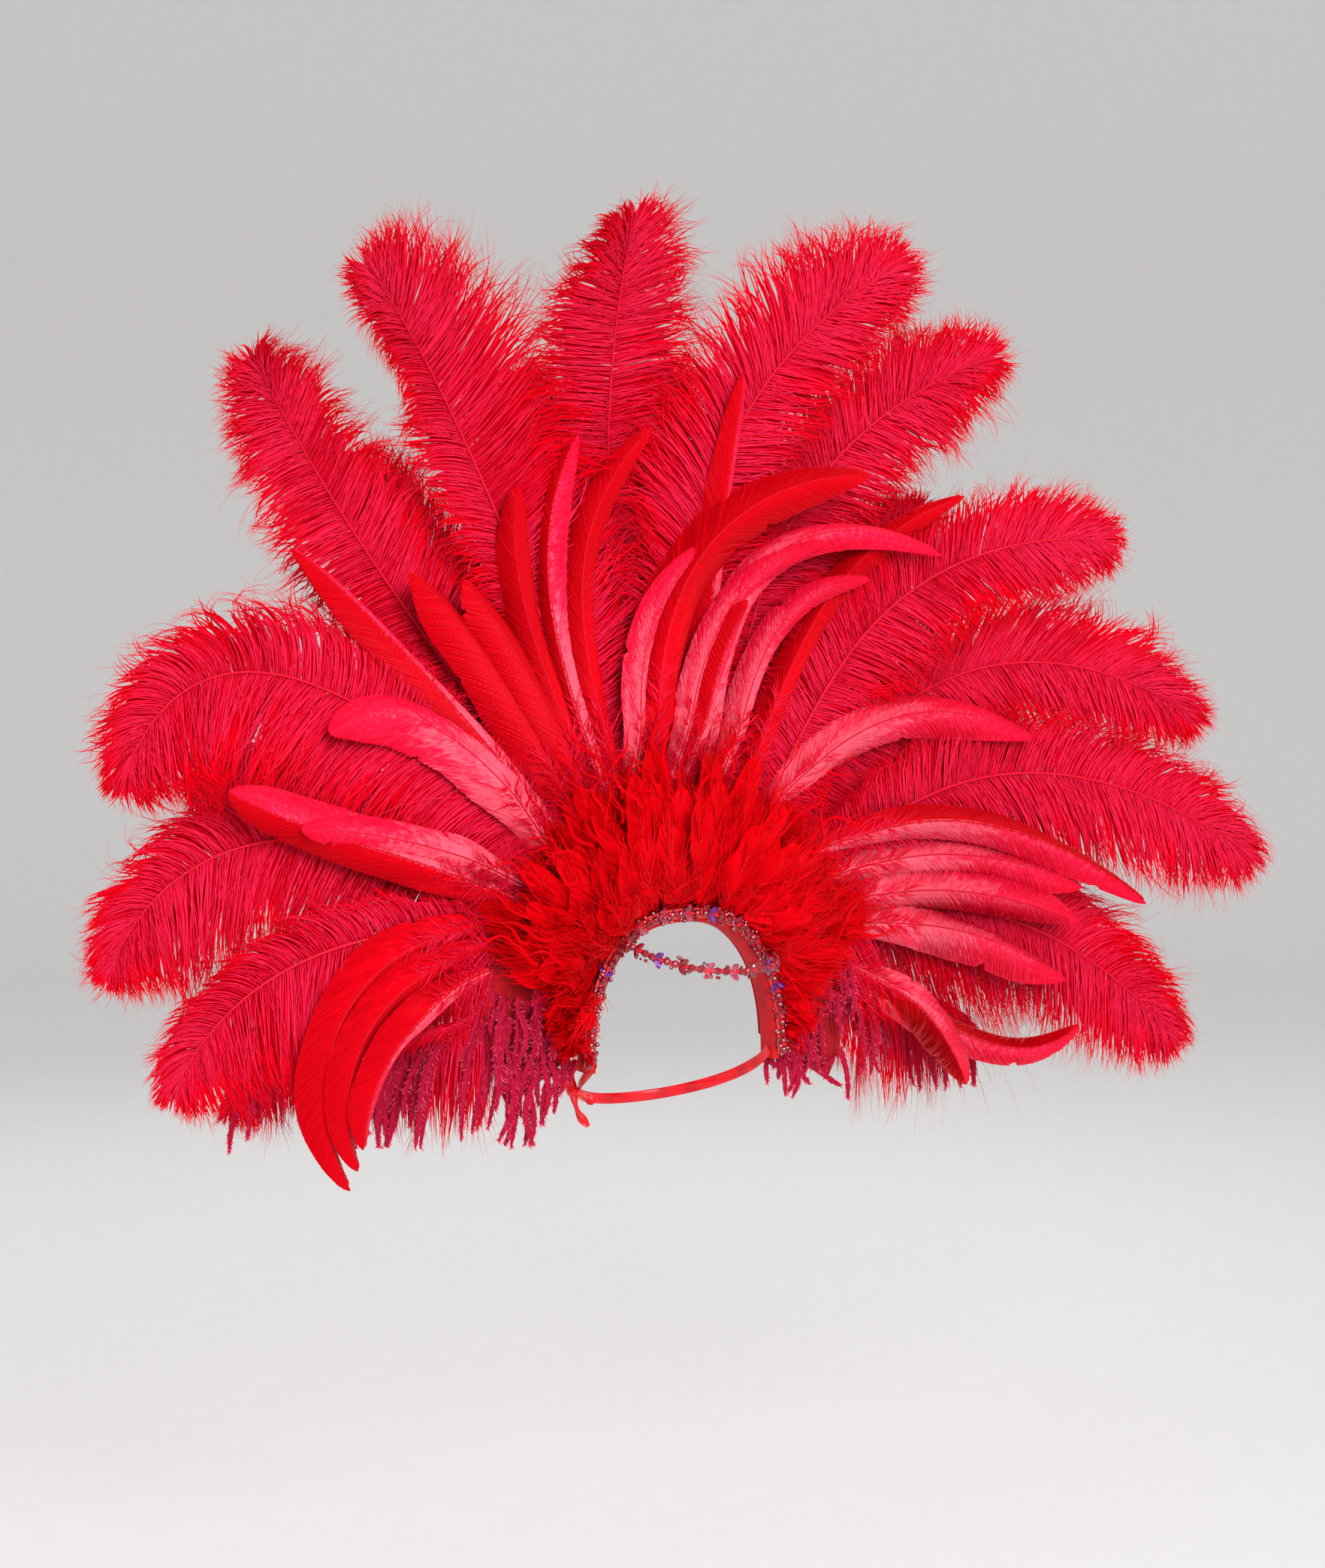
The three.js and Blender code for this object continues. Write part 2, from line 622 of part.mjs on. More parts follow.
// The bow's short loop stands up and back from the knot, and its long tail hangs below
function bowPiece({ aim, length }) {
  const direction = new THREE.Vector3(...aim).normalize();
  const foot = bowCentre().addScaledVector(direction, BOW_KNOT_RADIUS + 2 * GAP);
  const path = (t) => foot.clone().addScaledVector(direction, length * t);
  const outward = (t) => new THREE.Vector3(-1, 0.2 - 0.6 * t, 0).normalize();
  const width = (t) => BOW_RIBBON * (0.5 + 0.7 * Math.sin(Math.PI * (0.1 + 0.75 * t)));
  return ribbon(path, 6, width, TIE_THICKNESS * BOW_PUFF, outward);
}

// Finishes: dyed feather and felt, satin, and coated glass
const cloth = (color) => new THREE.MeshStandardMaterial({ color, roughness: 0.85, metalness: 0 });
const satin = () => new THREE.MeshStandardMaterial({ color: RED, roughness: 0.35, metalness: 0 });
const glass = () => new THREE.MeshStandardMaterial({ color: DEEP_RED, roughness: 0.1, metalness: 0.4 });

const headdress = new THREE.Group();

function addPiece(name, geometry, material) {
  const mesh = new THREE.Mesh(geometry, material);
  mesh.name = name;
  headdress.add(mesh);
}

function numbered(name, index) {
  return `${name}_${String(index + 1).padStart(2, "0")}`;
}

addPiece("head_arch", headArch(), satin());
addPiece("fan_backing", fanBacking(), cloth(DEEP_RED));

PLUMES.forEach((row, index) => {
  const seat = BACKING_REAR + GAP + PLUME.quill;
  const geometry = plume(row, PLUME, seat, row.layer * LAYER_DEPTH);
  addPiece(numbered("ostrich_plume", index), geometry, cloth(RED));
});

UNDER_PLUMES.forEach((row, index) => {
  const seat = BACKING_REAR + GAP + UNDER.quill;
  const geometry = plume(row, UNDER, seat, row.layer * LAYER_DEPTH);
  addPiece(numbered("under_plume", index), geometry, cloth(DEEP_RED));
});

COQUE_FEATHERS.forEach((row, index) => {
  const seat = BACKING_FRONT - GAP - COQUE.quill;
  const geometry = coque(row, COQUE, seat, -row.layer * COQUE_LAYER_DEPTH);
  addPiece(numbered("coque_feather", index), geometry, cloth(RED));
});

addPiece("marabou_collar", marabouCollar(), cloth(DEEP_RED));
addPiece("arch_bead_trim", beadString(trimPath, TRIM_UNITS, () => FORWARD.clone()), glass());
addPiece(
  "forehead_bead_strand",
  beadString((t) => strandCurve.getPointAt(t), STRAND_UNITS, strandOutward),
  glass(),
);
addPiece(
  "tie_strap",
  ribbon(tiePath, TIE_STATIONS, () => TIE_WIDTH, TIE_THICKNESS, tieOutward),
  satin(),
);
addPiece("tie_knot", bowKnot(), satin());
addPiece("tie_loop", bowPiece(BOW_LOOP), satin());
addPiece("tie_tail", bowPiece(BOW_TAIL), satin());

export default headdress;
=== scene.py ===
"""Looks of the carnival feather headdress: plumes, rooster feathers, collar, beads and tie.

Metres, +Z up. The wearer looks along -Y, so the wearer's right hand is on the -X side.
"""

import math

import bpy
import numpy as np
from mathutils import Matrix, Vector


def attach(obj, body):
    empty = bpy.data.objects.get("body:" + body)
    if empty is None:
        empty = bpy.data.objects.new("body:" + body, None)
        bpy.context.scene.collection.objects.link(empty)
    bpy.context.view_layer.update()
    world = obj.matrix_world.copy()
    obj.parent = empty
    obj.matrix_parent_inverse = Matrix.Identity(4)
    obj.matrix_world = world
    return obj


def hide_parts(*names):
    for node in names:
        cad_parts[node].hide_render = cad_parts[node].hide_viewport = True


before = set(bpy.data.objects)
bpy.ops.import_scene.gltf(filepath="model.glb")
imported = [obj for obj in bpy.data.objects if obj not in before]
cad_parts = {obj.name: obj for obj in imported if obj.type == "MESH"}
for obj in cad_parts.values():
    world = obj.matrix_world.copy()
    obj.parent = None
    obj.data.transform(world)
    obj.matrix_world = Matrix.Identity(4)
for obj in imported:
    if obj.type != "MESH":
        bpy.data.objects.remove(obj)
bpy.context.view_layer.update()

bl_info = {
    "name": "Carnival feather headdress",
    "version": (1, 0, 0),
    "blender": (4, 5, 0),
    "location": "View3D > Sidebar > Headdress",
    "description": "Builds the feathers, beads and cloth of a carnival headdress on its frame",
    "category": "Add Mesh",
}


def table(columns, *rows):
    """Rows with named columns; a row may leave out its last ones."""
    names = columns.split()
    return [dict(zip(names, row)) for row in rows]


# The arch that sits on the head, and the band round it
ARCH_HALF_WIDTH = 0.080
ARCH_HEIGHT = 0.116
ARCH_SQUARENESS = 2.4
BAND_DEPTH = 0.024
BAND_THICKNESS = 0.009
BAND_EDGE_THICKNESS = 0.006
GAP = 0.0003

# The fan: every feather points away from this centre
FAN_CENTRE_HEIGHT = -0.064
FAN_LEAN_START = 0.190
FAN_LEAN = 0.12
FAN_CURL_START = 0.330
FAN_CURL_RADIUS = 0.350
SPREAD_START = 0.172
SPREAD_LENGTH = 0.060
QUILL_REACH = 0.112
BACKING_FRONT = BAND_DEPTH / 2 + GAP
BACKING_THICKNESS = 0.003
BACKING_REACH = 0.165
BACKING_ANGLE = 118
BACKING_ARCH_END = 84
BACKING_OUTSIDE_ARCH = 0.001

# Main ostrich plumes: angles in degrees from straight up, reaches in metres from the fan's
# centre, at the foot, half way and at the tip. lean is the angle at which the barbs of each
# side leave the quill, bend how far they turn towards its tip, fall how far they hang, and
# shift how much of the vane's width lies on the quill's left, seen from the front, rather
# than on its right.
PLUME = {"quill": 0.0017, "vane_start": 0.150, "seat": 0.0181}
PLUMES = table(
    "foot mid tip mid_reach tip_reach width layer lean bend fall shift",
    (-66, -80, -98, 0.295, 0.418, 0.160, 0, (66, 60), (-6, 22), 0.60, 0.14),
    (-55, -67, -86, 0.350, 0.460, 0.172, 1, (66, 58), (-6, 26), 0.50, 0.12),
    (-43, -50.5, -69, 0.412, 0.482, 0.190, 0, (70, 58), (-16, 40), 0.46, 0.12),
    (-32, -34.5, -36.5, 0.400, 0.625, 0.150, 1, (80, 58), (-24, 6), 0.12, 0.02),
    (-19, -20, -27.5, 0.390, 0.640, 0.180, 0, (62, 66), (-34, 16), 0.04, -0.18),
    (-6, -5.5, -5.5, 0.395, 0.632, 0.192, 1, (80, 78), (6, 2), 0.16, 0.00),
    (6, 6, 17, 0.395, 0.628, 0.178, 0, (62, 66), (-20, 0), 0.08, 0.04),
    (18, 18, 29, 0.385, 0.608, 0.165, 1, (62, 68), (2, -6), 0.12, 0.00),
    (30, 34, 48.5, 0.370, 0.566, 0.150, 0, (62, 62), (12, 2), 0.18, -0.02),
    (42, 48, 68, 0.380, 0.568, 0.155, 1, (50, 60), (8, 4), 0.20, -0.02),
    (54, 61, 81, 0.350, 0.580, 0.176, 0, (64, 60), (26, -4), 0.42, -0.06),
    (70, 81, 98.5, 0.330, 0.528, 0.176, 1, (60, 62), (28, -2), 0.46, -0.04),
)

# Shorter ostrich plumes between and below the main ones. locks is the number of long barbs
# that hang down from a plume like chenille.
UNDER = {"quill": 0.0012, "vane_start": 0.140, "seat": 0.0176}
UNDER_PLUMES = table(
    "foot mid tip mid_reach tip_reach width layer lean bend fall shift locks",
    (-86, -97, -105, 0.195, 0.272, 0.120, 2, (56, 56), (6, 6), 1.20, 0.15, 24),
    (-76, -91, -103, 0.270, 0.365, 0.110, 3, (56, 56), (6, 6), 1.00, 0.15, 10),
    (-49, -58, -66, 0.320, 0.430, 0.130, 2, (60, 60), (10, 10), 0.40, 0.10),
    (-25.5, -28, -31, 0.330, 0.500, 0.160, 3, (52, 52), (6, 6), 0.10, 0.00),
    (-12.5, -13, -14, 0.340, 0.520, 0.160, 2, (64, 64), (6, 6), 0.18, 0.00),
    (0, 0, 3, 0.340, 0.520, 0.150, 3, (64, 64), (6, 6), 0.18, 0.00),
    (24, 27, 34, 0.330, 0.490, 0.150, 2, (64, 64), (6, 6), 0.20, 0.00),
    (48, 53, 62, 0.320, 0.430, 0.120, 3, (60, 60), (10, 8), 0.30, 0.00),
    (62, 72, 86, 0.320, 0.450, 0.220, 2, (60, 62), (10, 4), 0.66, -0.34),
    (82, 94, 100, 0.245, 0.350, 0.150, 3, (58, 58), (6, 6), 1.10, -0.20, 26),
)
PLUME_LAYER_DEPTH = 0.016

# Rooster tail feathers: roll turns the blade about its quill, in degrees at its foot and tip.
# pale names the half of the vane whose paler underside shows, -1 or 1, or 0 for neither and
# 2 for both, and soft makes it less pale. That paler colour is partly the underside's own dye
# and partly painted sheen of a half turned aside; a blade with neither pale half has a milder
# form of the same painted sheen on its half on the +X side. spread is how wide the opened
# blade lies against width, which is that of its solid; the blades without one have
# BLADE_SPREAD. A higher layer lies nearer the front.
COQUE = {"quill": 0.0008, "vane_start": 0.165, "seat": 0.0108, "thick": 0.0007}
COQUE_FEATHERS = table(
    "foot mid tip mid_reach tip_reach width layer roll pale spread soft",
    (-24, -23.5, -18.5, 0.290, 0.432, 0.024, 5, (-10, 25), 1, 1.55, True),
    (-28, -26.5, -28.5, 0.270, 0.382, 0.030, 6, (0, -20), 0),
    (-20, -19, -10.5, 0.300, 0.460, 0.022, 2, (10, 30), 1),
    (-16, -14.5, -2.5, 0.310, 0.460, 0.022, 3, (0, 25), 0),
    (4, 7.5, 6.5, 0.340, 0.508, 0.022, 1, (0, -20), 1),
    (-9, 0, 22, 0.325, 0.460, 0.028, 9, (0, 20), 0, 1.70),
    (-12.5, -7.5, 6, 0.270, 0.372, 0.022, 8, (0, 15), 2, 1.20),
    (-2, 5.5, 20.5, 0.285, 0.396, 0.020, 7, (-10, 20), 2, 1.25),
    (9.5, 11, 35, 0.335, 0.442, 0.022, 5, (0, 30), 2),
    (13.5, 16, 28.5, 0.290, 0.388, 0.020, 6, (0, 20), 2),
    (1, 4.5, 11, 0.225, 0.328, 0.022, 9, (0, -15), 1),
    (20, 24, 33.5, 0.330, 0.494, 0.020, 2, (10, 20), 0),
    (-32, -30.5, -33.5, 0.300, 0.408, 0.030, 4, (0, -25), 0),
    (-37, -38.5, -42, 0.330, 0.482, 0.022, 1, (0, -30), 1),
    (-42, -42, -53, 0.285, 0.364, 0.034, 5, (0, -20), 2),
    (-56, -63, -64.5, 0.285, 0.412, 0.028, 6, (0, 15), 1, 1.55),
    (-51, -58, -65, 0.240, 0.350, 0.024, 8, (0, -15), 2),
    (-61, -84, -115.5, 0.265, 0.306, 0.034, 3, (0, 25), 0, 1.10),
    (-66, -87, -113, 0.248, 0.296, 0.030, 5, (0, 20), 0, 1.10),
    (-71, -90, -110, 0.225, 0.288, 0.028, 7, (0, 30), -1, 1.10),
    (26, 40.5, 60, 0.285, 0.410, 0.026, 3, (0, 25), 2, 1.55),
    (42, 63, 83, 0.300, 0.470, 0.020, 5, (0, 25), 1, 1.60),
    (52, 67, 80, 0.275, 0.418, 0.026, 2, (0, 15), 2, 1.75),
    (60, 73, 84, 0.265, 0.405, 0.026, 4, (0, -20), 2, 1.75),
    (67, 79, 91, 0.250, 0.388, 0.026, 6, (0, 20), 2, 1.75),
    (75, 92, 108, 0.210, 0.290, 0.026, 8, (0, -20), -1, 1.55),
    (84, 100, 97, 0.295, 0.415, 0.022, 1, (0, 20), 1),
)
COQUE_LAYER_DEPTH = -0.003

# The collar's soft tips reach this far from the fan's centre, by fan angle
COLLAR_REACH = [
    dict(angle=-120, reach=0.140),
    dict(angle=-85, reach=0.158),
    dict(angle=-52, reach=0.195),
    dict(angle=-27, reach=0.232),
    dict(angle=0, reach=0.226),
    dict(angle=27, reach=0.220),
    dict(angle=54, reach=0.182),
    dict(angle=80, reach=0.150),
    dict(angle=120, reach=0.135),
]
# The collar ends at these turns round the arch, in degrees: its last tuft, and its last one
# of full length. It keeps clear of the beads by COLLAR_INNER.
COLLAR_END = 84
COLLAR_FULL = 64
COLLAR_INNER = 0.012
TUFT_VANE = 0.28
TUFT_STATIONS = 13
TUFT_COLUMNS = 9
TUFT_BARBS = 46
TUFT_BARB_WIDTH = 0.0013
TUFT_QUILL = (0.0005, 0.00015)
# Layers of tufts from the back to the front: how far each reaches towards the collar's rim,
# its tip's and foot's place from back to front, and its bands of the colour map, darker for
# the layers further back as painted shade
COLLAR_LAYERS = [
    dict(share=(0.60, 0.92), depth=(-0.012, 0.002), foot=(0.000, 0.008), row=(0, 90)),
    dict(share=(0.40, 0.78), depth=(-0.026, -0.012), foot=(-0.008, 0.002), row=(10, 130)),
    dict(share=(0.22, 0.60), depth=(-0.036, -0.022), foot=(-0.012, -0.004), row=(20, 150)),
]

# Beads and leaves on their cord: CAD_TRIM_BEADS is the solids' number of beads, by which the
# strand's ends are counted
CORD_RADIUS = 0.0013
STRAND_CORD_RADIUS = 0.0019
BEAD_RADIUS = 0.0031
LEAF_LENGTH = 0.0095
LEAF_WIDTH = 0.0050
LEAF_THICKNESS = 0.0024
LEAF_SPLAY = 42
TRIM_UNITS = 15
STRAND_UNITS = 11
CAD_TRIM_BEADS = 30
STEPS_PER_UNIT = 3
TRIM_SEEDS = 6
STRAND_SEEDS = 2
TRIM_ABOVE_BAND = 0.0015
TRIM_END = 89
BRAID_WIDTH = 0.0085
BRAID_THICKNESS = 0.0012
BRAID_PLAIT = 0.003
STRAND_ENDS = (8.5, 23.5)
STRAND_ROUTE = [
    (-0.063, -0.036, -0.013),
    (-0.052, -0.062, -0.021),
    (-0.028, -0.083, -0.028),
    (0.000, -0.091, -0.031),
    (0.028, -0.083, -0.031),
    (0.053, -0.062, -0.031),
    (0.068, -0.036, -0.031),
]

# The tie round the back of the head, and its bow
TIE_WIDTH = 0.009
TIE_THICKNESS = 0.0012
TIE_BACK = 0.096
TIE_DROP = 0.050
TIE_START_DEPTH = -0.006
TIE_START_HEIGHT = 0.008
BOW_PLACE = 0.115
BOW_KNOT_RADIUS = 0.005
BOW_KNOT_DROP = 0.005
BOW_THICKNESS = 0.0038
BOW_RIBBONS = [
    dict(node="tie_loop", aim=(-0.57, 0.29, 0.77), length=0.018, width=0.0064, curl=0.0030),
    dict(node="tie_loop", aim=(0.13, -0.07, 0.99), length=0.023, width=0.0058, curl=-0.0020),
    dict(node="tie_tail", aim=(0.36, -0.18, -0.91), length=0.029, width=0.0064, curl=0.0030),
    dict(node="tie_tail", aim=(0.80, -0.35, -0.50), length=0.018, width=0.0080, curl=-0.0015),
]

# The camera, as the photograph was taken: metres, degrees
CAMERA_PLACE = (-0.96035, -1.85410, 0.21991)
CAMERA_AZIMUTH = -27
CAMERA_ELEVATION = 3
CAMERA_HEIGHT_OF_VIEW = 33.52
SENSOR = 36.0

# Soft area lights round the headdress: degrees from the front, metres, share of the key's power
LIGHT_TARGET = (0.05, 0.0, 0.16)
LIGHT_DISTANCE = 2.8
LIGHTS = [
    dict(name="key", azimuth=-8, elevation=20, size=1.3, share=1.0),
    dict(name="fill", azimuth=-80, elevation=12, size=1.6, share=0.28),
    dict(name="back", azimuth=165, elevation=30, size=1.6, share=0.30),
]
AIR_COLOUR = (0.96, 0.97, 1.0)

# How the barbs of a vane are laid, from the back of the vane to its front. spacing is between
# their roots, width against the setting's barb width, lift how far in front of the quill they
# start, and arch how far they rise and dip. rows are the bands of the colour map that they
# take their colour from, from painted shade for the barbs at the back of the vane to painted
# light for those at its front. clump is how many stick together, and pull how
# much. scatter is the spread of their angles and hook that of their bent ends, in degrees,
# and twist that of their turn about themselves, in radians. reach is their length against the
# vane's outline, uneven the spread of it, and steps the number of stretches in each.
BARB_LAYERS = [
    dict(spacing=0.0022, width=2.10, lift=-0.0016, arch=0.04, rows=(10, 80), clump=(2, 4),
         pull=0.20, scatter=1.5, twist=0.10, reach=0.88, uneven=0.05, hook=12, steps=5),
    dict(spacing=0.0019, width=1.15, lift=0.0000, arch=0.10, rows=(50, 140), clump=(3, 7),
         pull=0.45, scatter=2.5, twist=0.20, reach=0.98, uneven=0.07, hook=30, steps=8),
    dict(spacing=0.0024, width=0.62, lift=0.0010, arch=0.18, rows=(130, 256), clump=(3, 7),
         pull=0.55, scatter=4.0, twist=0.40, reach=1.05, uneven=0.09, hook=44, steps=8),
    dict(spacing=0.0034, width=0.30, lift=0.0026, arch=0.26, rows=(190, 256), clump=(1, 2),
         pull=0.10, scatter=10.0, twist=1.00, reach=1.10, uneven=0.10, hook=50, steps=7),
]
MAP_ROWS = 256
QUILL_SAMPLES = 160

# The rounded tip of a plume, as shares of its vane's length, with this share of barbs more
BARE_TIP = 0.95
TIP_START = 0.78
TIP_EXTRA = 0.18

# How barbs stray from their table, in degrees, shares and radians: those near the quill's foot
# lean more by LEAN_OPEN and those near its tip less, hooks start at HOOK_FROM of the length,
# ends wave by BARB_WAVE, and this many barbs rise and dip together
LEAN_OPEN = 6
HOOK_FROM = 0.38
BARB_WAVE = 0.16
WAVE_CLUMP = (8, 26)

# Where the ends of a plume's barbs curl over to the front: degrees, rise, and how many bands
# darker on the colour map they take, which is painted shade on the curled ends
EDGE_SAMPLES = 60
CURL_LEAN = 40
CURL_LIFT = 1.1
CURL_SHADE = 70

# No barb goes further back than this
BACK_LIMIT = 0.104

# The blade of a rooster feather, its hooked barbs and the down at its foot
BLADE_SPREAD = 1.4
BLADE_SWEEP = 0.11
BLADE_CUP = 0.45
BLADE_BARB_SPACING = 0.0015
BLADE_BARB_WIDTH = 0.0032
BLADE_BARB_LIFT = 0.0003
BLADE_DOWN_SHARE = 0.28
BLADE_DOWN_BARBS = 80
BLADE_DOWN_LENGTH = 0.044
BLADE_DOWN_WIDTH = 0.0010

# The long barbs that hang like chenille, which end above a lowest height
LOCK_LENGTH = (0.050, 0.095)
LOCK_FUZZ = 0.0056
LOCK_FUZZ_SPACING = 0.0006
LOCK_FUZZ_WIDTH = 0.0009
LOCK_CORE = 0.0025
LOCK_LOWEST = -0.172

# What each material slot of a feather holds, and of a string of beads
FLUE, PLUME_QUILL, CHENILLE = 0, 1, 2
# The underside and blush slots of a rooster feather hold its paler dye and also painted sheen
FACE, UNDERSIDE_AND_SHEEN, BLADE_QUILL, DOWN, BLUSH_AND_SHEEN = 0, 1, 2, 3, 4
CORD, RED_GLASS, PURPLE_GLASS, AMBER_GLASS, ROSE_GLASS, BRAID = 0, 1, 2, 3, 4, 5
LEAF_GLASS = [RED_GLASS] * 3 + [PURPLE_GLASS] * 2 + [AMBER_GLASS, ROSE_GLASS]
SEED_GLASS = [RED_GLASS] * 5 + [AMBER_GLASS]

# Where the random draws of each kind of piece start
MAIN_SEED, UNDER_SEED, COQUE_SEED, COLLAR_SEED, BEAD_SEED = 100, 200, 300, 71, 41

# The look of a barb: how far its tone varies by chance, how narrow the painted highlight
# along its middle is, from where to where along it its end's soft colour sets in in place of
# that painted light and shade, how much of that it takes, and how much less the foremost
# barbs take, so that they keep more of their painted light
BARB_CHANCE = 0.5
BARB_RIDGE = 3.5
BARB_SOFT = (0.35, 0.85)
BARB_SOFT_SHARE = 0.95
BARB_FRONT_CLEAR = 0.65

# Where the face and the underside of a blade lie on its colour map, and half their height
# there, and how far its barbs run on along it for each step across
FACE_ROW, UNDERSIDE_ROW, ROW_HALF = 0.25, 0.75, 0.23
BLADE_BARB_SLOPE = 0.35
# How pale a blade is: streaks and patches add to it, and it falls towards the tip and edge
PALE = {"streak": 1.7, "patch": 1.0, "tip": -0.85, "edge": -1.4, "start": -0.45}

# Real sizes behind the materials' patterns, in metres. The colour map of a blade spans
# BLADE_MAP along and across it, and a quill's spans QUILL_MAP along it. A blade's barbs lie
# less than 1 mm apart on a real feather and are drawn 2.5 mm apart, so that they show. Cloth
# varies over 17 mm, a bead's coating over 4 mm and the paper over 33 mm.
BLADE_MAP = (0.300, 0.0738)
BLADE_BARB_PITCH = 0.0025
BLADE_STREAK = BLADE_MAP[0] / 45
BLADE_PATCH = (0.075, 0.0082)
QUILL_MAP = 0.448
QUILL_STREAK = 0.032
CLOTH_PATCH = 1 / 60
COATING_PATCH = 1 / 260
PAPER_MOTTLE = 1 / 30

FORWARD = np.array([0.0, -1.0, 0.0])


def linear(hex_colour):
    """An sRGB hex colour as linear red, green and blue."""
    channels = [int(hex_colour[i:i + 2], 16) / 255 for i in (1, 3, 5)]
    return tuple(c / 12.92 if c <= 0.04045 else ((c + 0.055) / 1.055) ** 2.4 for c in channels)


def smooth_step(x):
    """Rises smoothly from 0 at 0 to 1 at 1."""
    t = np.clip(x, 0, 1)
    return t * t * (3 - 2 * t)


def unit(vectors):
    """The same directions with a length of 1."""
    return vectors / np.maximum(np.linalg.norm(vectors, axis=-1, keepdims=True), 1e-12)


def through_three(a, b, c, t):
    """A curve through three values at 0, 1/2 and 1."""
    return a * (2 * t - 1) * (t - 1) + b * 4 * t * (1 - t) + c * t * (2 * t - 1)


def fan_depth(reach):
    """How far behind the backing's plane the fan's own surface lies at a given reach."""
    curl = np.maximum(0, reach - FAN_CURL_START)
    return FAN_LEAN * np.maximum(0, reach - FAN_LEAN_START) - curl ** 2 / (2 * FAN_CURL_RADIUS)


def fan_point(angle, reach, depth):
    """A point of the fan, by its angle from straight up and its reach from the centre."""
    a = np.radians(angle)
    x, y, z = np.broadcast_arrays(reach * np.sin(a), depth,
                                  FAN_CENTRE_HEIGHT + reach * np.cos(a))
    return np.stack([x, y, z], axis=-1)


def arch_point(turn, outside, depth):
    """A point of the arch, a given distance outside its inner line; turn is -90 to 90."""
    a = np.radians(turn)
    power = 2 / ARCH_SQUARENESS
    across = np.sign(a) * np.abs(np.sin(a)) ** power
    up = np.abs(np.cos(a)) ** power
    x, y, z = np.broadcast_arrays((ARCH_HALF_WIDTH + outside) * across, depth,
                                  (ARCH_HEIGHT + outside) * up - ARCH_HEIGHT)
    return np.stack([x, y, z], axis=-1)


def plume_width(share):
    """The share of a plume's width at a place along its vane: soon wide, blunt at the tip."""
    opening = np.minimum(1, 0.12 + 1.75 * share)
    closing = np.maximum(0, 1 - np.maximum(0, (share - 0.45) / 0.57) ** 2.8) ** 0.45
    return np.where(share < 0.45, np.maximum(0.75, smooth_step(opening)), closing)


def coque_width(share):
    """The share of its width that a rooster tail feather has along its blade: it widens
    slowly from the quill's foot and ends in a blunt point."""
    opening = 0.60 + 0.40 * smooth_step(share / 0.30)
    closing = np.maximum(0, 1 - np.maximum(0, (share - 0.52) / 0.482) ** 2.6) ** 0.62
    return opening * closing


class Line:
    """A curve in space, read by distance along it, with its own side and forward axes."""

    def __init__(self, points, front=FORWARD):
        self.points = np.asarray(points, float)
        steps = np.linalg.norm(np.diff(self.points, axis=0), axis=1)
        self.distance = np.concatenate([[0], np.cumsum(steps)])
        self.length = self.distance[-1]
        self.tangent = unit(np.gradient(self.points, axis=0))
        front = np.broadcast_to(front, self.points.shape)
        along = np.sum(self.tangent * front, axis=1, keepdims=True)
        self.front = unit(front - self.tangent * along)

    def at(self, distance):
        """Points, tangents, front axes and side axes at these distances."""
        read = [
            np.stack([np.interp(distance, self.distance, row[:, i]) for i in range(3)], axis=-1)
            for row in (self.points, self.tangent, self.front)
        ]
        point, tangent, front = read[0], unit(read[1]), unit(read[2])
        return point, tangent, front, np.cross(tangent, front)


def feather_line(feather, style, layer_depth):
    """The line of a feather's quill from its foot on the backing to its tip."""
    t = np.linspace(0, 1, QUILL_SAMPLES)
    angle = through_three(feather["foot"], feather["mid"], feather["tip"], t)
    reach = through_three(QUILL_REACH, feather["mid_reach"], feather["tip_reach"], t)
    spread = smooth_step((reach - SPREAD_START) / SPREAD_LENGTH)
    depth = style["seat"] + feather["layer"] * layer_depth * spread + fan_depth(reach)
    return Line(fan_point(angle, reach, depth)), reach


class Shape:
    """Points and faces gathered for one mesh, with the map that its colours follow."""

    def __init__(self):
        self.points, self.corners, self.sizes = [], [], []
        self.maps, self.slots, self.smooth = [], [], []
        self.count = 0

    def add(self, points, faces, maps, slot=0, smooth=True):
        """Adds points (n, 3), faces (m, 3 or 4) and a map place (n, 2) for each point."""
        points, faces = np.reshape(points, (-1, 3)), np.asarray(faces)
        self.points.append(points)
        self.corners.append(faces.ravel() + self.count)
        self.sizes.append(np.full(len(faces), faces.shape[1]))
        self.maps.append(np.reshape(maps, (-1, 2))[faces.ravel()])
        self.slots.append(np.full(len(faces), slot))
        self.smooth.append(np.full(len(faces), smooth))
        self.count += len(points)

    def build(self, name, materials, nodes, slot):
        """Makes the piece, which rides on the one body and stands for these nodes."""
        sizes = np.concatenate(self.sizes)
        corners = np.concatenate(self.corners)
        mesh = bpy.data.meshes.new(name)
        mesh.vertices.add(self.count)
        mesh.loops.add(len(corners))
        mesh.polygons.add(len(sizes))
        mesh.vertices.foreach_set("co", np.concatenate(self.points).astype(np.float32).ravel())
        mesh.loops.foreach_set("vertex_index", corners.astype(np.int32))
        starts = np.concatenate([[0], np.cumsum(sizes)[:-1]])
        mesh.polygons.foreach_set("loop_start", starts.astype(np.int32))
        mesh.update(calc_edges=True)
        mesh.polygons.foreach_set("material_index", np.concatenate(self.slots).astype(np.int32))
        mesh.polygons.foreach_set("use_smooth", np.concatenate(self.smooth))
        layer = mesh.uv_layers.new(name="OFBake")
        layer.data.foreach_set("uv", np.concatenate(self.maps).astype(np.float32).ravel())
        for material in materials:
            mesh.materials.append(material)
        mesh.validate()
        piece = bpy.data.objects.new(name, mesh)
        bpy.context.scene.collection.objects.link(piece)
        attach(piece, "root")
        if nodes:
            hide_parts(*nodes)
        return piece


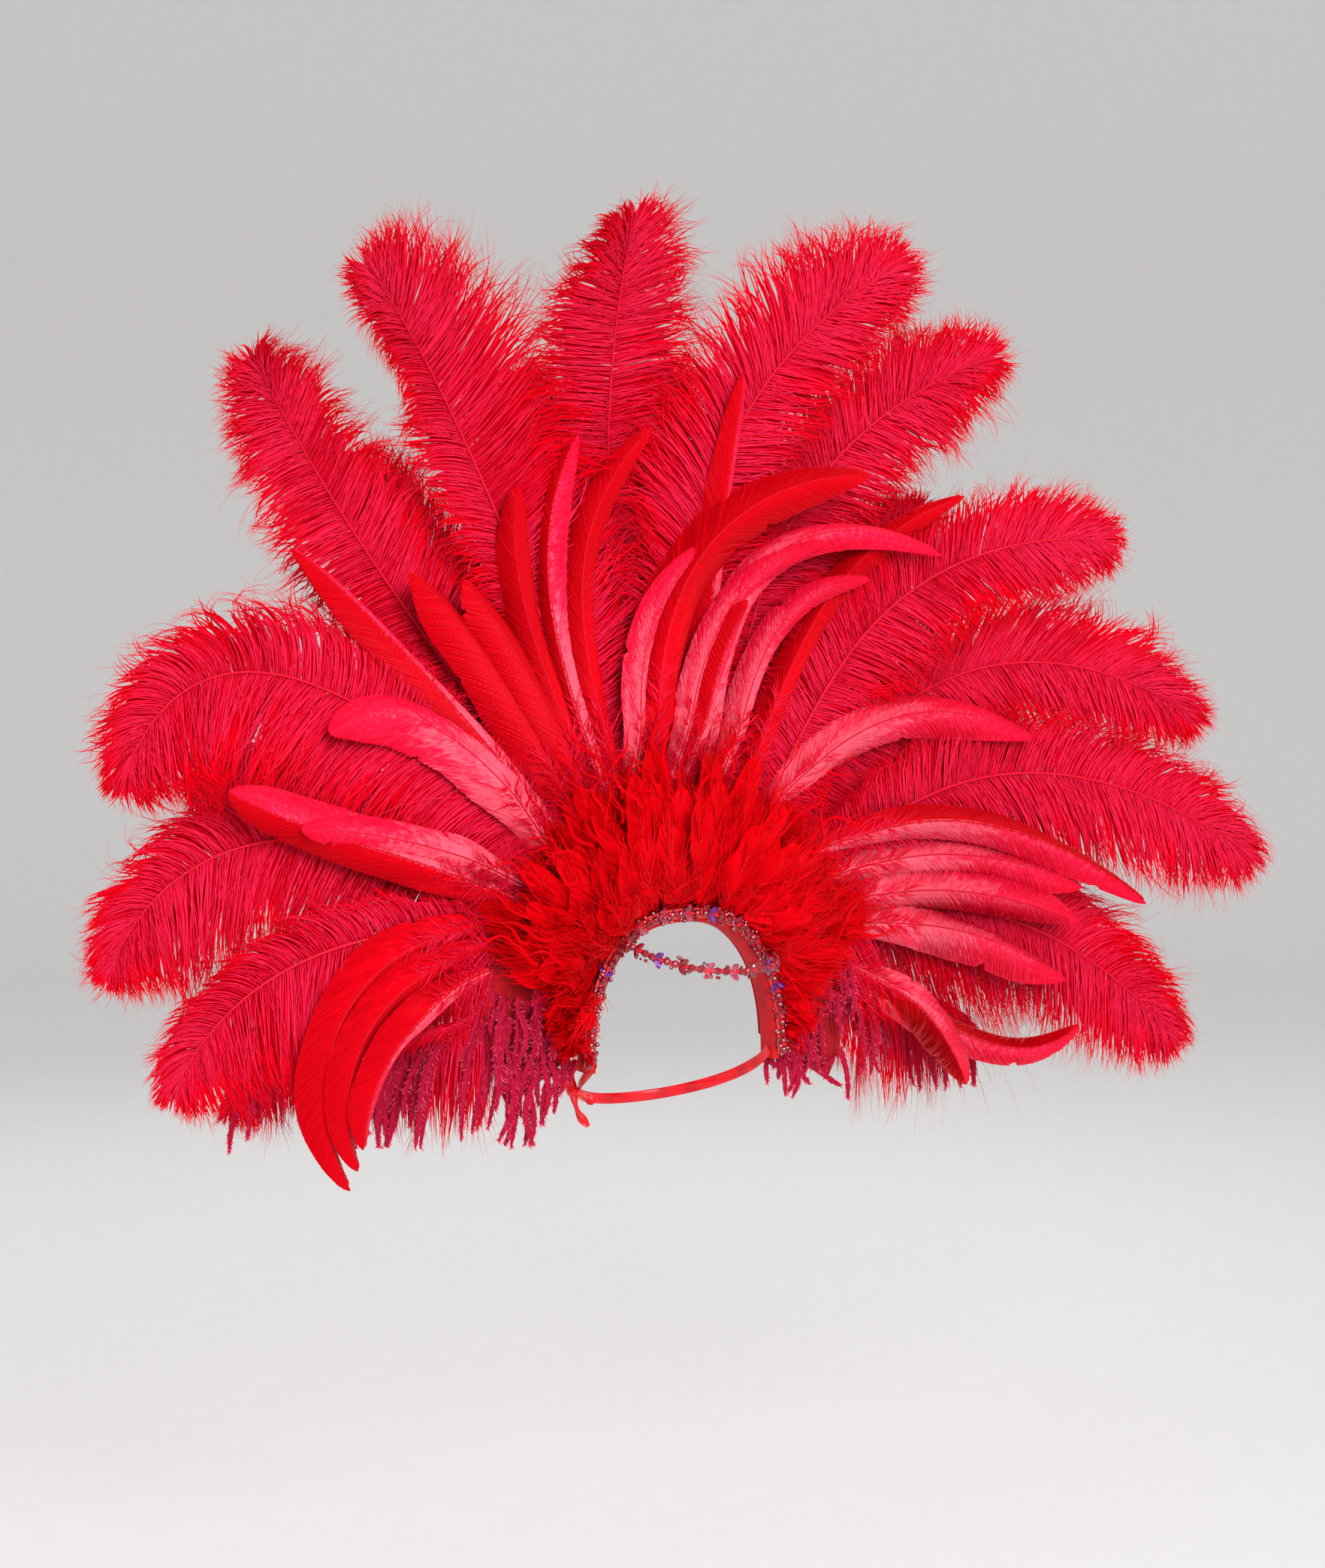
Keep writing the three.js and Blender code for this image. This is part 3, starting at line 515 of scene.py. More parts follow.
def grid_faces(rows, columns):
    """The faces of a grid of points, row by row."""
    index = np.arange(rows * columns).reshape(rows, columns)
    return np.stack([index[:-1, :-1], index[:-1, 1:], index[1:, 1:], index[1:, :-1]],
                    axis=-1).reshape(-1, 4)


def strips(spines, across, widths):
    """Points (n, k, 2, 3) and faces of thin strips along spines (n, k, 3), spanned by across
    (n, k, 3) and widths (n, k)."""
    edge = across * widths[..., None] / 2
    points = np.stack([spines - edge, spines + edge], axis=2)
    index = np.arange(points[..., 0].size).reshape(points.shape[:3])
    faces = np.stack([index[:, :-1, 0], index[:, :-1, 1], index[:, 1:, 1], index[:, 1:, 0]],
                     axis=-1).reshape(-1, 4)
    return points, faces


def add_ribbons(shape, spines, across, widths, rows, slot=0):
    """Thin strips along spines, each coloured by its row of the colour map."""
    count, stations = spines.shape[:2]
    points, faces = strips(spines, across, widths)
    along = np.broadcast_to(np.linspace(0, 1, stations)[None, :, None], (count, stations, 2))
    row = (rows[:, None, None] + np.array([0.1, 0.9])) / MAP_ROWS
    row = np.broadcast_to(row, (count, stations, 2))
    shape.add(points, faces, np.stack([along, row], axis=-1), slot)


def add_loft(shape, rings, slot=0, smooth=True, low=(0, 0), high=(1, 1)):
    """A closed body through rings (k, m, 3) with a point at the middle of each end."""
    stations, sides = rings.shape[:2]
    index = np.arange(stations * sides).reshape(stations, sides)
    nxt = np.roll(index, -1, axis=1)
    faces = np.stack([index[:-1], nxt[:-1], nxt[1:], index[1:]], axis=-1).reshape(-1, 4)
    along = np.linspace(low[0], high[0], stations)[:, None]
    round_it = low[1] + (high[1] - low[1]) * np.arange(sides)[None, :] / sides
    maps = np.stack(np.broadcast_arrays(along, round_it), axis=-1)
    shape.add(rings, faces, maps, slot, smooth)
    for ring, flip in ((rings[0], True), (rings[-1], False)):
        cap = np.concatenate([ring, ring.mean(axis=0, keepdims=True)])
        side = np.arange(sides)
        after = (side + 1) % sides
        middle = np.full(sides, sides)
        order = [after, side, middle] if flip else [side, after, middle]
        place = np.broadcast_to([high[0] if not flip else low[0], low[1]], (sides + 1, 2))
        shape.add(cap, np.stack(order, axis=-1), place, slot, smooth)


def tube_rings(line, distances, radii, sides):
    """Rings round a line at these distances, with these radii."""
    point, _, front, side = line.at(distances)
    a = 2 * np.pi * np.arange(sides) / sides
    radii = np.broadcast_to(radii, distances.shape)[:, None, None]
    return point[:, None] + radii * (side[:, None] * np.cos(a)[None, :, None]
                                     + front[:, None] * np.sin(a)[None, :, None])


def add_node(tree, kind, values=None, links=None, stops=None, **settings):
    """Adds a shader node with its settings, socket values, links in and colour stops."""
    node = tree.nodes.new(kind)
    for name, value in settings.items():
        setattr(node, name, value)
    for socket, value in (values or {}).items():
        node.inputs[socket].default_value = value
    for socket, source in (links or {}).items():
        tree.links.new(source, node.inputs[socket])
    for i, (position, colour) in enumerate(stops or []):
        ramp = node.color_ramp.elements
        element = ramp[i] if i < len(ramp) else ramp.new(position)
        element.position = position
        element.color = (*colour, 1.0)
    return node


def new_material(name, **values):
    """A material with one Principled shader, its plain values set on the shader's sockets."""
    material = bpy.data.materials.new(name)
    material.use_nodes = True
    tree = material.node_tree
    tree.nodes.clear()
    shader = add_node(tree, "ShaderNodeBsdfPrincipled", {
        socket: (*value, 1.0) if isinstance(value, tuple) else value
        for socket, value in values.items()
    })
    add_node(tree, "ShaderNodeOutputMaterial", links={"Surface": shader.outputs["BSDF"]})
    return material, tree, shader


def shade(colour, factor):
    """A lighter or darker colour of the same dye."""
    return tuple(min(1.0, c * factor) for c in colour)


def barb_colours(tree, stops, tip, lines, painted_ridge_strength):
    """Colour of a strip of barbs from its own map: each strip shows this many fine barbs side
    by side, each with a painted highlight along its middle and painted shade at its sides near
    the quill, and of one soft colour towards their ends, where that painted light and shade give
    way. Low rows of the map are painted shade and high rows painted light. Returns the colour
    and the place across a single barb."""
    uv = add_node(tree, "ShaderNodeUVMap", uv_map="OFBake")
    place = add_node(tree, "ShaderNodeSeparateXYZ", links={"Vector": uv.outputs["UV"]})
    scaled = add_node(tree, "ShaderNodeMath", {1: float(MAP_ROWS * lines)},
                      {0: place.outputs["Y"]}, operation="MULTIPLY")
    line = add_node(tree, "ShaderNodeMath", links={0: scaled.outputs[0]}, operation="FLOOR")
    across = add_node(tree, "ShaderNodeMath", links={0: scaled.outputs[0]}, operation="FRACT")
    chance = add_node(tree, "ShaderNodeTexWhiteNoise", links={"W": line.outputs[0]},
                      noise_dimensions="1D")
    shift = add_node(tree, "ShaderNodeMath", {1: BARB_CHANCE, 2: -BARB_CHANCE / 2},
                     {0: chance.outputs["Value"]}, operation="MULTIPLY_ADD")
    tone = add_node(tree, "ShaderNodeMath", links={0: place.outputs["Y"], 1: shift.outputs[0]},
                    operation="ADD", use_clamp=True)
    turn = add_node(tree, "ShaderNodeMath", {1: math.pi}, {0: across.outputs[0]},
                    operation="MULTIPLY")
    arch = add_node(tree, "ShaderNodeMath", links={0: turn.outputs[0]}, operation="SINE")
    ridge = add_node(tree, "ShaderNodeMath", {1: BARB_RIDGE}, {0: arch.outputs[0]},
                     operation="POWER")
    painted_ridge = add_node(tree, "ShaderNodeMath", {1: painted_ridge_strength, 2: -0.5 * painted_ridge_strength},
                   {0: ridge.outputs[0]}, operation="MULTIPLY_ADD")
    total = add_node(tree, "ShaderNodeMath", links={0: tone.outputs[0], 1: painted_ridge.outputs[0]},
                     operation="ADD", use_clamp=True)
    colour = add_node(tree, "ShaderNodeValToRGB", links={"Fac": total.outputs[0]}, stops=stops)
    ends = add_node(tree, "ShaderNodeMapRange",
                    {1: BARB_SOFT[0], 2: BARB_SOFT[1], 3: 0.0, 4: BARB_SOFT_SHARE},
                    {0: place.outputs["X"]})
    strands = add_node(tree, "ShaderNodeMath", {1: -BARB_FRONT_CLEAR, 2: 1.0},
                       {0: place.outputs["Y"]}, operation="MULTIPLY_ADD")
    share = add_node(tree, "ShaderNodeMath", links={0: ends.outputs[0], 1: strands.outputs[0]},
                     operation="MULTIPLY")
    mixed = add_node(tree, "ShaderNodeMix", {7: (*tip, 1.0)},
                     {0: share.outputs[0], 6: colour.outputs["Color"]}, data_type="RGBA")
    return mixed.outputs[2], across.outputs[0]


def barb_bump(tree, across, strength, distance):
    """Rounds each flat strip like the fluffy barb it stands for."""
    bend = add_node(tree, "ShaderNodeMath", {1: math.pi}, {0: across}, operation="MULTIPLY")
    round_top = add_node(tree, "ShaderNodeMath", links={0: bend.outputs[0]}, operation="SINE")
    return add_node(tree, "ShaderNodeBump", {"Strength": strength, "Distance": distance},
                    {"Height": round_top.outputs[0]}).outputs["Normal"]


def ostrich_flue(name, dye, bright, tip, glint):
    """Dyed ostrich flue: fine barbs with downy barbules, whose fluff gives a rosy sheen. Its
    colour map also paints shade on the barbs at the back of the vane and a rosy painted
    highlight on the foremost barbs and along each barb's middle. Each strip of mesh is one
    barb. It is drawn coarser than a real one so that it shows: 0.5 mm wide at the front of the
    vane to 3.6 mm at its back."""
    material, tree, shader = new_material(
        name, **{
            "Roughness": 0.5, "IOR": 1.54, "Specular IOR Level": 0.12,
            "Specular Tint": glint, "Sheen Weight": 0.08, "Sheen Roughness": 0.35,
            "Sheen Tint": glint})
    # The darkest stop is painted shade and the lightest one painted highlight
    stops = [(0.0, shade(dye, 0.62)), (0.42, dye), (1.0, bright)]
    colour, across = barb_colours(tree, stops, tip, lines=1, painted_ridge_strength=1.0)
    tree.links.new(colour, shader.inputs["Base Color"])
    normal = barb_bump(tree, across, strength=0.6, distance=0.0006)
    tree.links.new(normal, shader.inputs["Normal"])
    return material


def feather_quill(name, colour):
    """A dyed quill: smooth horn, a deeper red than the vane with a narrow gloss, and faintly
    streaked along its length."""
    material, tree, shader = new_material(
        name, **{"Roughness": 0.45, "IOR": 1.54, "Specular IOR Level": 0.15})
    uv = add_node(tree, "ShaderNodeUVMap", uv_map="OFBake")
    place = add_node(tree, "ShaderNodeSeparateXYZ", links={"Vector": uv.outputs["UV"]})
    streak = add_node(tree, "ShaderNodeTexNoise", {"Scale": QUILL_MAP / QUILL_STREAK,
                                                     "Detail": 3.0},
                      {"Vector": uv.outputs["UV"]})
    tone = add_node(tree, "ShaderNodeMath", {1: 0.5}, {0: streak.outputs[0]},
                    operation="MULTIPLY")
    total = add_node(tree, "ShaderNodeMath", links={0: tone.outputs[0], 1: place.outputs["X"]},
                     operation="ADD", use_clamp=True)
    ramp = add_node(tree, "ShaderNodeValToRGB", links={"Fac": total.outputs[0]},
                    stops=[(0.0, shade(colour, 0.7)), (0.6, colour), (1.0, shade(colour, 1.1))])
    tree.links.new(ramp.outputs["Color"], shader.inputs["Base Color"])
    return material


def coque_vane(name, near, far, pale_streak, reach, gloss):
    """A dyed rooster tail vane: barbs hooked into one smooth blade with a satin gloss. Its
    colour goes from pale_streak through near to far, from the quill's foot outwards, and the
    streaks run with the barbs. reach is how much of the blade is pale."""
    material, tree, shader = new_material(
        name, **{"Roughness": gloss, "IOR": 1.54, "Specular IOR Level": 0.3,
                 "Specular Tint": linear("#FF4A60"), "Sheen Weight": 0.03,
                 "Sheen Roughness": 0.3, "Sheen Tint": linear("#FF5070")})
    uv = add_node(tree, "ShaderNodeUVMap", uv_map="OFBake")
    place = add_node(tree, "ShaderNodeSeparateXYZ", links={"Vector": uv.outputs["UV"]})
    half = add_node(tree, "ShaderNodeMath", {1: 2 * FACE_ROW}, {0: place.outputs["Y"]},
                    operation="PINGPONG")
    offset = add_node(tree, "ShaderNodeMath", {1: FACE_ROW}, {0: half.outputs[0]},
                      operation="SUBTRACT")
    across = add_node(tree, "ShaderNodeMath", links={0: offset.outputs[0]},
                      operation="ABSOLUTE")
    barb = add_node(tree, "ShaderNodeMath", {1: -BLADE_BARB_SLOPE},
                    {0: across.outputs[0], 2: place.outputs["X"]}, operation="MULTIPLY_ADD")
    lines = add_node(tree, "ShaderNodeCombineXYZ", links={"X": barb.outputs[0]})
    streak = add_node(tree, "ShaderNodeTexNoise",
                      {"Scale": BLADE_MAP[0] / BLADE_STREAK, "Detail": 5.0},
                      {"Vector": lines.outputs["Vector"]})
    long, wide = (whole / patch for whole, patch in zip(BLADE_MAP, BLADE_PATCH))
    broad = add_node(tree, "ShaderNodeMapping", {"Scale": (long, wide, 1.0)},
                     {"Vector": uv.outputs["UV"]})
    patch = add_node(tree, "ShaderNodeTexNoise", {"Scale": 1.0, "Detail": 3.0},
                     {"Vector": broad.outputs["Vector"]})
    inward = add_node(tree, "ShaderNodeMath", {1: PALE["edge"], 2: reach + PALE["start"]},
                      {0: across.outputs[0]}, operation="MULTIPLY_ADD")
    to_foot = add_node(tree, "ShaderNodeMath", {1: PALE["tip"]},
                       {0: place.outputs["X"], 2: inward.outputs[0]}, operation="MULTIPLY_ADD")
    patched = add_node(tree, "ShaderNodeMath", {1: PALE["patch"]},
                       {0: patch.outputs[0], 2: to_foot.outputs[0]}, operation="MULTIPLY_ADD")
    pale = add_node(tree, "ShaderNodeMath", {1: PALE["streak"]},
                    {0: streak.outputs[0], 2: patched.outputs[0]}, operation="MULTIPLY_ADD",
                    use_clamp=True)
    colour = add_node(tree, "ShaderNodeValToRGB", links={"Fac": pale.outputs[0]},
                      stops=[(0.0, shade(far, 0.72)), (0.32, far), (0.66, near),
                             (1.0, pale_streak)])
    tree.links.new(colour.outputs["Color"], shader.inputs["Base Color"])
    turns = add_node(tree, "ShaderNodeMath",
                     {1: 2 * math.pi * BLADE_MAP[0] / BLADE_BARB_PITCH},
                     {0: barb.outputs[0]}, operation="MULTIPLY")
    ridges = add_node(tree, "ShaderNodeMath", links={0: turns.outputs[0]}, operation="SINE")
    height = add_node(tree, "ShaderNodeMath", {1: 0.25},
                      {0: ridges.outputs[0], 2: streak.outputs[0]}, operation="MULTIPLY_ADD")
    bump = add_node(tree, "ShaderNodeBump", {"Strength": 0.4, "Distance": 0.0005},
                    {"Height": height.outputs[0]})
    tree.links.new(bump.outputs["Normal"], shader.inputs["Normal"])
    return material


def marabou_down(settings):
    """Dyed marabou: turkey down with loose silky barbs, soft and deep in colour. Its colour map
    paints shade on the tufts further back and at the sides of each fine barb, and a painted
    highlight along each barb's middle and on the foremost down.
    """
    dye = tuple(settings.dye)
    material, tree, shader = new_material(
        "dyed_marabou_down", **{
            "Roughness": 0.5, "IOR": 1.54, "Specular IOR Level": 0.25,
            "Specular Tint": linear("#FF1828"), "Sheen Weight": 0.12,
            "Sheen Roughness": 0.5, "Sheen Tint": linear("#FF1020")})
    # The darkest stop is painted shade and the lightest one painted highlight
    stops = [(0.0, shade(dye, 0.70)), (0.40, dye), (1.0, tuple(settings.bright))]
    colour, across = barb_colours(tree, stops, dye, lines=4, painted_ridge_strength=0.4)
    tree.links.new(colour, shader.inputs["Base Color"])
    normal = barb_bump(tree, across, strength=0.4, distance=0.0004)
    tree.links.new(normal, shader.inputs["Normal"])
    return material


def noise_cloth(name, colour, thread, roughness, sheen, tint, depth):
    """A cloth with a soft sheen. Noise draws its threads, thread metres apart, which is
    coarser than the real ones so that they show."""
    material, tree, shader = new_material(
        name, **{"Roughness": roughness, "IOR": 1.5, "Specular IOR Level": 0.4,
                 "Sheen Weight": sheen, "Sheen Roughness": 0.4, "Sheen Tint": tint})
    where = add_node(tree, "ShaderNodeTexCoord")
    fibres = add_node(tree, "ShaderNodeTexNoise", {"Scale": 1 / thread, "Detail": 4.0},
                      {"Vector": where.outputs["Object"]})
    patch = add_node(tree, "ShaderNodeTexNoise", {"Scale": 1 / CLOTH_PATCH, "Detail": 2.0},
                     {"Vector": where.outputs["Object"]})
    mixed = add_node(tree, "ShaderNodeMath", {1: 0.5}, {0: fibres.outputs[0], 2: patch.outputs[0]},
                     operation="MULTIPLY_ADD")
    ramp = add_node(tree, "ShaderNodeValToRGB", links={"Fac": mixed.outputs[0]},
                    stops=[(0.45, shade(colour, 0.6)), (0.75, colour), (1.0, shade(colour, 1.3))])
    bump = add_node(tree, "ShaderNodeBump", {"Strength": 0.6, "Distance": depth},
                    {"Height": fibres.outputs[0]})
    tree.links.new(ramp.outputs["Color"], shader.inputs["Base Color"])
    tree.links.new(bump.outputs["Normal"], shader.inputs["Normal"])
    return material


def coated_glass(name, colour, film, metal):
    """Pressed glass with a rainbow coating: glossy facets that flash purple, gold and green."""
    material, tree, shader = new_material(
        name, **{"Roughness": 0.08, "IOR": 1.55, "Metallic": metal,
                 "Coat Weight": 0.6, "Coat Roughness": 0.03,
                 "Thin Film Thickness": film, "Thin Film IOR": 1.8})
    where = add_node(tree, "ShaderNodeTexCoord")
    patch = add_node(tree, "ShaderNodeTexNoise", {"Scale": 1 / COATING_PATCH, "Detail": 1.0},
                     {"Vector": where.outputs["Object"]})
    ramp = add_node(tree, "ShaderNodeValToRGB", links={"Fac": patch.outputs[0]},
                    stops=[(0.3, shade(colour, 0.5)), (0.55, colour), (0.8, shade(colour, 1.5))])
    tree.links.new(ramp.outputs["Color"], shader.inputs["Base Color"])
    return material


def colour_setting(name, description, hex_colour):
    """A colour that the panel offers, with its first value."""
    return bpy.props.FloatVectorProperty(name=name, description=description, min=0, max=1,
                                         default=linear(hex_colour), subtype="COLOR")


class PlumeSettings(bpy.types.PropertyGroup):
    """Sizes and colours of the ostrich plumes."""

    barb_width: bpy.props.FloatProperty(
        name="Barb width", description="Width of one fluffy barb of a plume",
        default=0.0017, min=0.0005, max=0.005, unit="LENGTH")
    barb_crowding: bpy.props.FloatProperty(
        name="Crowding", description="Share of the usual number of barbs",
        default=1.0, min=0.1, max=2.0, subtype="FACTOR")
    dye: colour_setting("Dye", "Main red of the flue", "#E4001C")
    # A painted highlight, which the colour map puts on the foremost barbs and along each barb's
    # middle
    bright: colour_setting("Lit flue", "Red of the foremost barbs", "#FB2C5A")
    ends: colour_setting("Ends", "Clear red of the barbs' ends", "#EE0012")
    glint: colour_setting("Sheen", "Rosy sheen of the fluff", "#FF1638")
    chenille: colour_setting("Chenille", "Core of the hanging locks", "#E21040")
    # The chenille tips' colour is both the hanging locks' end colour and their painted highlight
    chenille_tips_and_highlight: colour_setting("Chenille tips", "Fine barbs of the hanging locks", "#FF5C84")
    quill: colour_setting("Quill", "Dyed quill", "#D80A2C")


class CoqueSettings(bpy.types.PropertyGroup):
    """Colours and cut of the rooster tail feathers."""

    notches: bpy.props.IntProperty(
        name="Splits", description="Splits along each edge of a blade", default=2, min=0, max=12)
    fold: bpy.props.FloatProperty(
        name="Fold", description="How far each half of a blade falls back from the quill",
        default=math.radians(26), min=0, max=math.radians(70), subtype="ANGLE")
    face: colour_setting("Face", "Glossy dyed face", "#E80012")
    blush: colour_setting("Blush", "Rosy half of a blade", "#EC0A30")
    streak: colour_setting("Streak", "Palest streaks of a blade", "#F85C72")
    # This colour also serves as the painted sheen of the pale halves of the blades
    underside: colour_setting("Underside", "Pale dyed underside", "#F01E46")


class CollarSettings(bpy.types.PropertyGroup):
    """Size and colour of the marabou collar."""

    tufts: bpy.props.IntProperty(
        name="Tufts", description="Number of marabou tufts in the ruff", default=142, min=10)
    backing_tufts: bpy.props.IntProperty(
        name="Backing tufts", description="Number of tufts that hide the felt", default=54,
        min=10)
    end_locks: bpy.props.IntProperty(
        name="End locks", description="Hanging locks over each end of the felt", default=40,
        min=0)
    wisps: bpy.props.IntProperty(
        name="Wisps", description="Dark wisps that stand out of the collar", default=90, min=0)
    barb_length: bpy.props.FloatProperty(
        name="Barb length", description="Length of a tuft's longest barbs", default=0.048,
        min=0.005, max=0.06, unit="LENGTH")
    dye: colour_setting("Dye", "Deep red of the down", "#E2000A")
    # A painted highlight on the down, at the top of its colour map
    bright: colour_setting("Lit down", "Red of the foremost barbs", "#F41020")


class TrimSettings(bpy.types.PropertyGroup):
    """Colours of the beads, leaves and their cord."""

    bead: colour_setting("Bead", "Red pressed glass", "#8C0222")
    braid: colour_setting("Braid", "Satin braid under the beads", "#E0302E")
    cord: colour_setting("Cord", "Satin cord", "#D80A22")


class ClothSettings(bpy.types.PropertyGroup):
    """Colours of the band, the backing and the tie."""

    velvet: colour_setting("Velvet", "The band's velvet", "#B8000E")
    felt: colour_setting("Felt", "The backing's felt", "#A8000F")
    satin: colour_setting("Satin", "The tie's ribbon", "#E00418")


class StageSettings(bpy.types.PropertyGroup):
    """Floor, light and camera."""

    floor_height: bpy.props.FloatProperty(
        name="Floor height", description="Height of the pale floor", default=-0.66,
        unit="LENGTH")
    paper: colour_setting("Paper", "Pale studio paper", "#DEDCDA")
    key_power: bpy.props.FloatProperty(
        name="Key light", description="Power of the front light", default=66.0,
        unit="POWER")
    air: bpy.props.FloatProperty(
        name="Air light", description="Strength of the pale light all round", default=0.95,
        min=0)


def ease_under(values, limit):
    """Keeps values under a limit, slowing them down over the last centimetre."""
    over = np.maximum(0, values - (limit - 0.010))
    return np.where(over > 0, limit - 0.010 + 0.010 * np.tanh(over / 0.010), values)


def clump_ids(rng, count, smallest, largest):
    """Puts neighbouring barbs in clumps of a random few."""
    sizes = rng.integers(smallest, largest + 1, count)
    return np.repeat(np.arange(count), sizes)[:count]


def barb_length(share, lean, half_width, vane_length):
    """How long each barb is, so that its tip lies on the vane's outline."""
    low = np.zeros_like(share)
    high = np.full_like(share, 3 * half_width)
    for _ in range(24):
        middle = (low + high) / 2
        tip = share + middle * np.cos(lean) / vane_length
        inside = middle * np.sin(lean) < half_width * plume_width(tip)
        low = np.where(inside, middle, low)
        high = np.where(inside, high, middle)
    return low


def pull_together(spines, group, strength, along):
    """Draws the tips of each clump towards the clump's middle."""
    count = group.max() + 1
    sums = np.zeros((count, *spines.shape[1:]))
    np.add.at(sums, group, spines)
    middle = sums / np.maximum(np.bincount(group, minlength=count), 1)[:, None, None]
    share = strength[:, None] * smooth_step((along - 0.35) / 0.65)[None]
    return spines + (middle[group] - spines) * share[..., None]


def grow_barbs(base, hand, angle, length, lift, fall, wave):
    """Spines of barbs (n, k + 1, 3) from their roots. base holds the points and axes of the
    roots, hand the side, angle (n, k) the lean of each step from the quill, lift and wave
    what each step turns to the front and anywhere, and fall how far a barb hangs."""
    root, tangent, front, side = base
    count, steps = angle.shape
    middle = (np.arange(steps) + 0.5) / steps
    hand = np.broadcast_to(hand, count)[:, None]
    move = (np.cos(angle)[..., None] * tangent[:, None]
            + (hand * np.sin(angle))[..., None] * side[:, None]
            + np.broadcast_to(lift, angle.shape)[..., None] * front[:, None])
    move[..., 2] -= fall * 2 * middle[None] ** 1.3
    move = unit(move + wave) * (length / steps)[:, None, None]
    spines = np.concatenate([np.zeros((count, 1, 3)), np.cumsum(move, axis=1)], axis=1)
    return spines + root[:, None]


def lay_strips(shape, spines, front, widths, turn, rows, slot=0):
    """Strips along spines, facing the front but turned about themselves by turn (n, k)."""
    direction = unit(np.gradient(spines, axis=1))
    flat = unit(np.cross(direction, front))
    across = (flat * np.cos(turn)[..., None]
              + np.cross(direction, flat) * np.sin(turn)[..., None])
    add_ribbons(shape, spines, across, widths, rows, slot)


def vane_edge(rng):
    """How one side of a plume changes along it: how long its barbs are, how they lean, and
    where their ends curl over to the front in a soft bunch."""
    place = np.linspace(0, 1, EDGE_SAMPLES)
    length, curl = np.ones(EDGE_SAMPLES), np.zeros(EDGE_SAMPLES)
    for k in (2, 4, 7):
        length += 0.05 / k * np.sin(place * rng.uniform(5, 9) * k + rng.uniform(0, 6.3))
    for _ in range(3):
        middle, spread = rng.uniform(0.05, 1.0), rng.uniform(0.03, 0.09)
        curl += rng.uniform(0.4, 1.0) * np.exp(-((place - middle) / spread) ** 2)
    return dict(place=place, length=length, lean=rng.normal(0, 6, EDGE_SAMPLES),
                curl=np.minimum(curl, 1))


def add_vane_barbs(shape, rng, line, start, feather, layer, hand, edge, settings):
    """One layer of barbs on one side of a plume's quill."""
    vane_length = line.length - start
    side_index = 0 if hand < 0 else 1
    half_width = feather["width"] * (0.5 - hand * feather["shift"])
    count = int(vane_length * BARE_TIP / layer["spacing"] * settings.barb_crowding)
    even = (np.arange(count) + rng.uniform(0.2, 0.8, count)) / count * BARE_TIP
    extra = rng.uniform(TIP_START, BARE_TIP, int(count * TIP_EXTRA))
    share = np.sort(np.concatenate([even, extra]))
    count = len(share)
    base = line.at(start + share * vane_length)
    front = base[2]
    group = clump_ids(rng, count, *layer["clump"])
    clumps = group.max() + 1
    lock = clump_ids(rng, count, *WAVE_CLUMP)
    curl = np.interp(share, edge["place"], edge["curl"])
    tip = smooth_step((share - TIP_START) / (BARE_TIP - TIP_START))
    lean = feather["lean"][side_index] + LEAN_OPEN - 2 * LEAN_OPEN * share
    lean *= 1 - 0.15 * tip
    lean *= 1 - tip * rng.uniform(0, 0.98, count)
    lean = np.maximum(np.radians(lean + rng.normal(0, layer["scatter"], count)), 0.01)
    length = barb_length(share, lean, half_width, vane_length)
    length *= layer["reach"] * rng.normal(1.0, layer["uneven"], clumps)[group]
    length *= rng.normal(0.99, 0.03, count) * np.interp(share, edge["place"], edge["length"])
    length *= 1 - 0.10 * curl
    along = np.linspace(0, 1, layer["steps"] + 1)
    middle = (along[1:] + along[:-1]) / 2
    late = smooth_step((middle - HOOK_FROM) / (1 - HOOK_FROM))[None]
    swing = np.radians(rng.normal(0, 5, clumps)[group] + rng.normal(0, 2, count)
                       + np.interp(share, edge["place"], edge["lean"]))
    bend = math.radians(feather["bend"][side_index]) * (1 - tip)
    hook = np.radians(rng.normal(0, layer["hook"], clumps)[group] + CURL_LEAN * curl)
    angle = (lean[:, None] + bend[:, None] * (0.55 - middle)[None]
             + swing[:, None] * middle[None] ** 2 + hook[:, None] * late
             + np.sin(middle * 8 + rng.uniform(0, 6.3, clumps)[group][:, None])
             * BARB_WAVE * late)
    lift = layer["arch"] * (1 - 2.5 * middle)[None] + rng.normal(0, 0.05, lock.max() + 1)[
        lock][:, None] + CURL_LIFT * curl[:, None] * late
    wave = rng.normal(0, 0.4, (count, 3))[:, None] * (middle ** 4)[None, :, None]
    spines = grow_barbs(base, hand, angle, length, lift, feather["fall"], wave)
    spines += (front * layer["lift"] * rng.uniform(0.6, 1.4, (count, 1)))[:, None]
    pull = layer["pull"] * rng.uniform(0.3, 1.1, clumps)[group] * (1 - 0.8 * tip)
    spines = pull_together(spines, group, pull, along)
    spines[..., 1] = ease_under(spines[..., 1], BACK_LIMIT)
    turn = rng.normal(0, layer["twist"], count)[:, None] * (0.4 + 0.6 * along)[None]
    taper = (0.7 + 0.3 * smooth_step(along / 0.2)) * (
        1 - 0.62 * smooth_step((along - 0.35) / 0.5) - 0.34 * along ** 8)
    widths = settings.barb_width * layer["width"] * taper[None] * rng.uniform(
        0.8, 1.15, (count, 1))
    # Barbs whose ends curl over take darker bands of the map: painted shade
    rows = np.maximum(rng.integers(*layer["rows"], count) - (CURL_SHADE * curl).astype(int), 0)
    lay_strips(shape, spines, front[:, None], widths, turn, rows, FLUE)


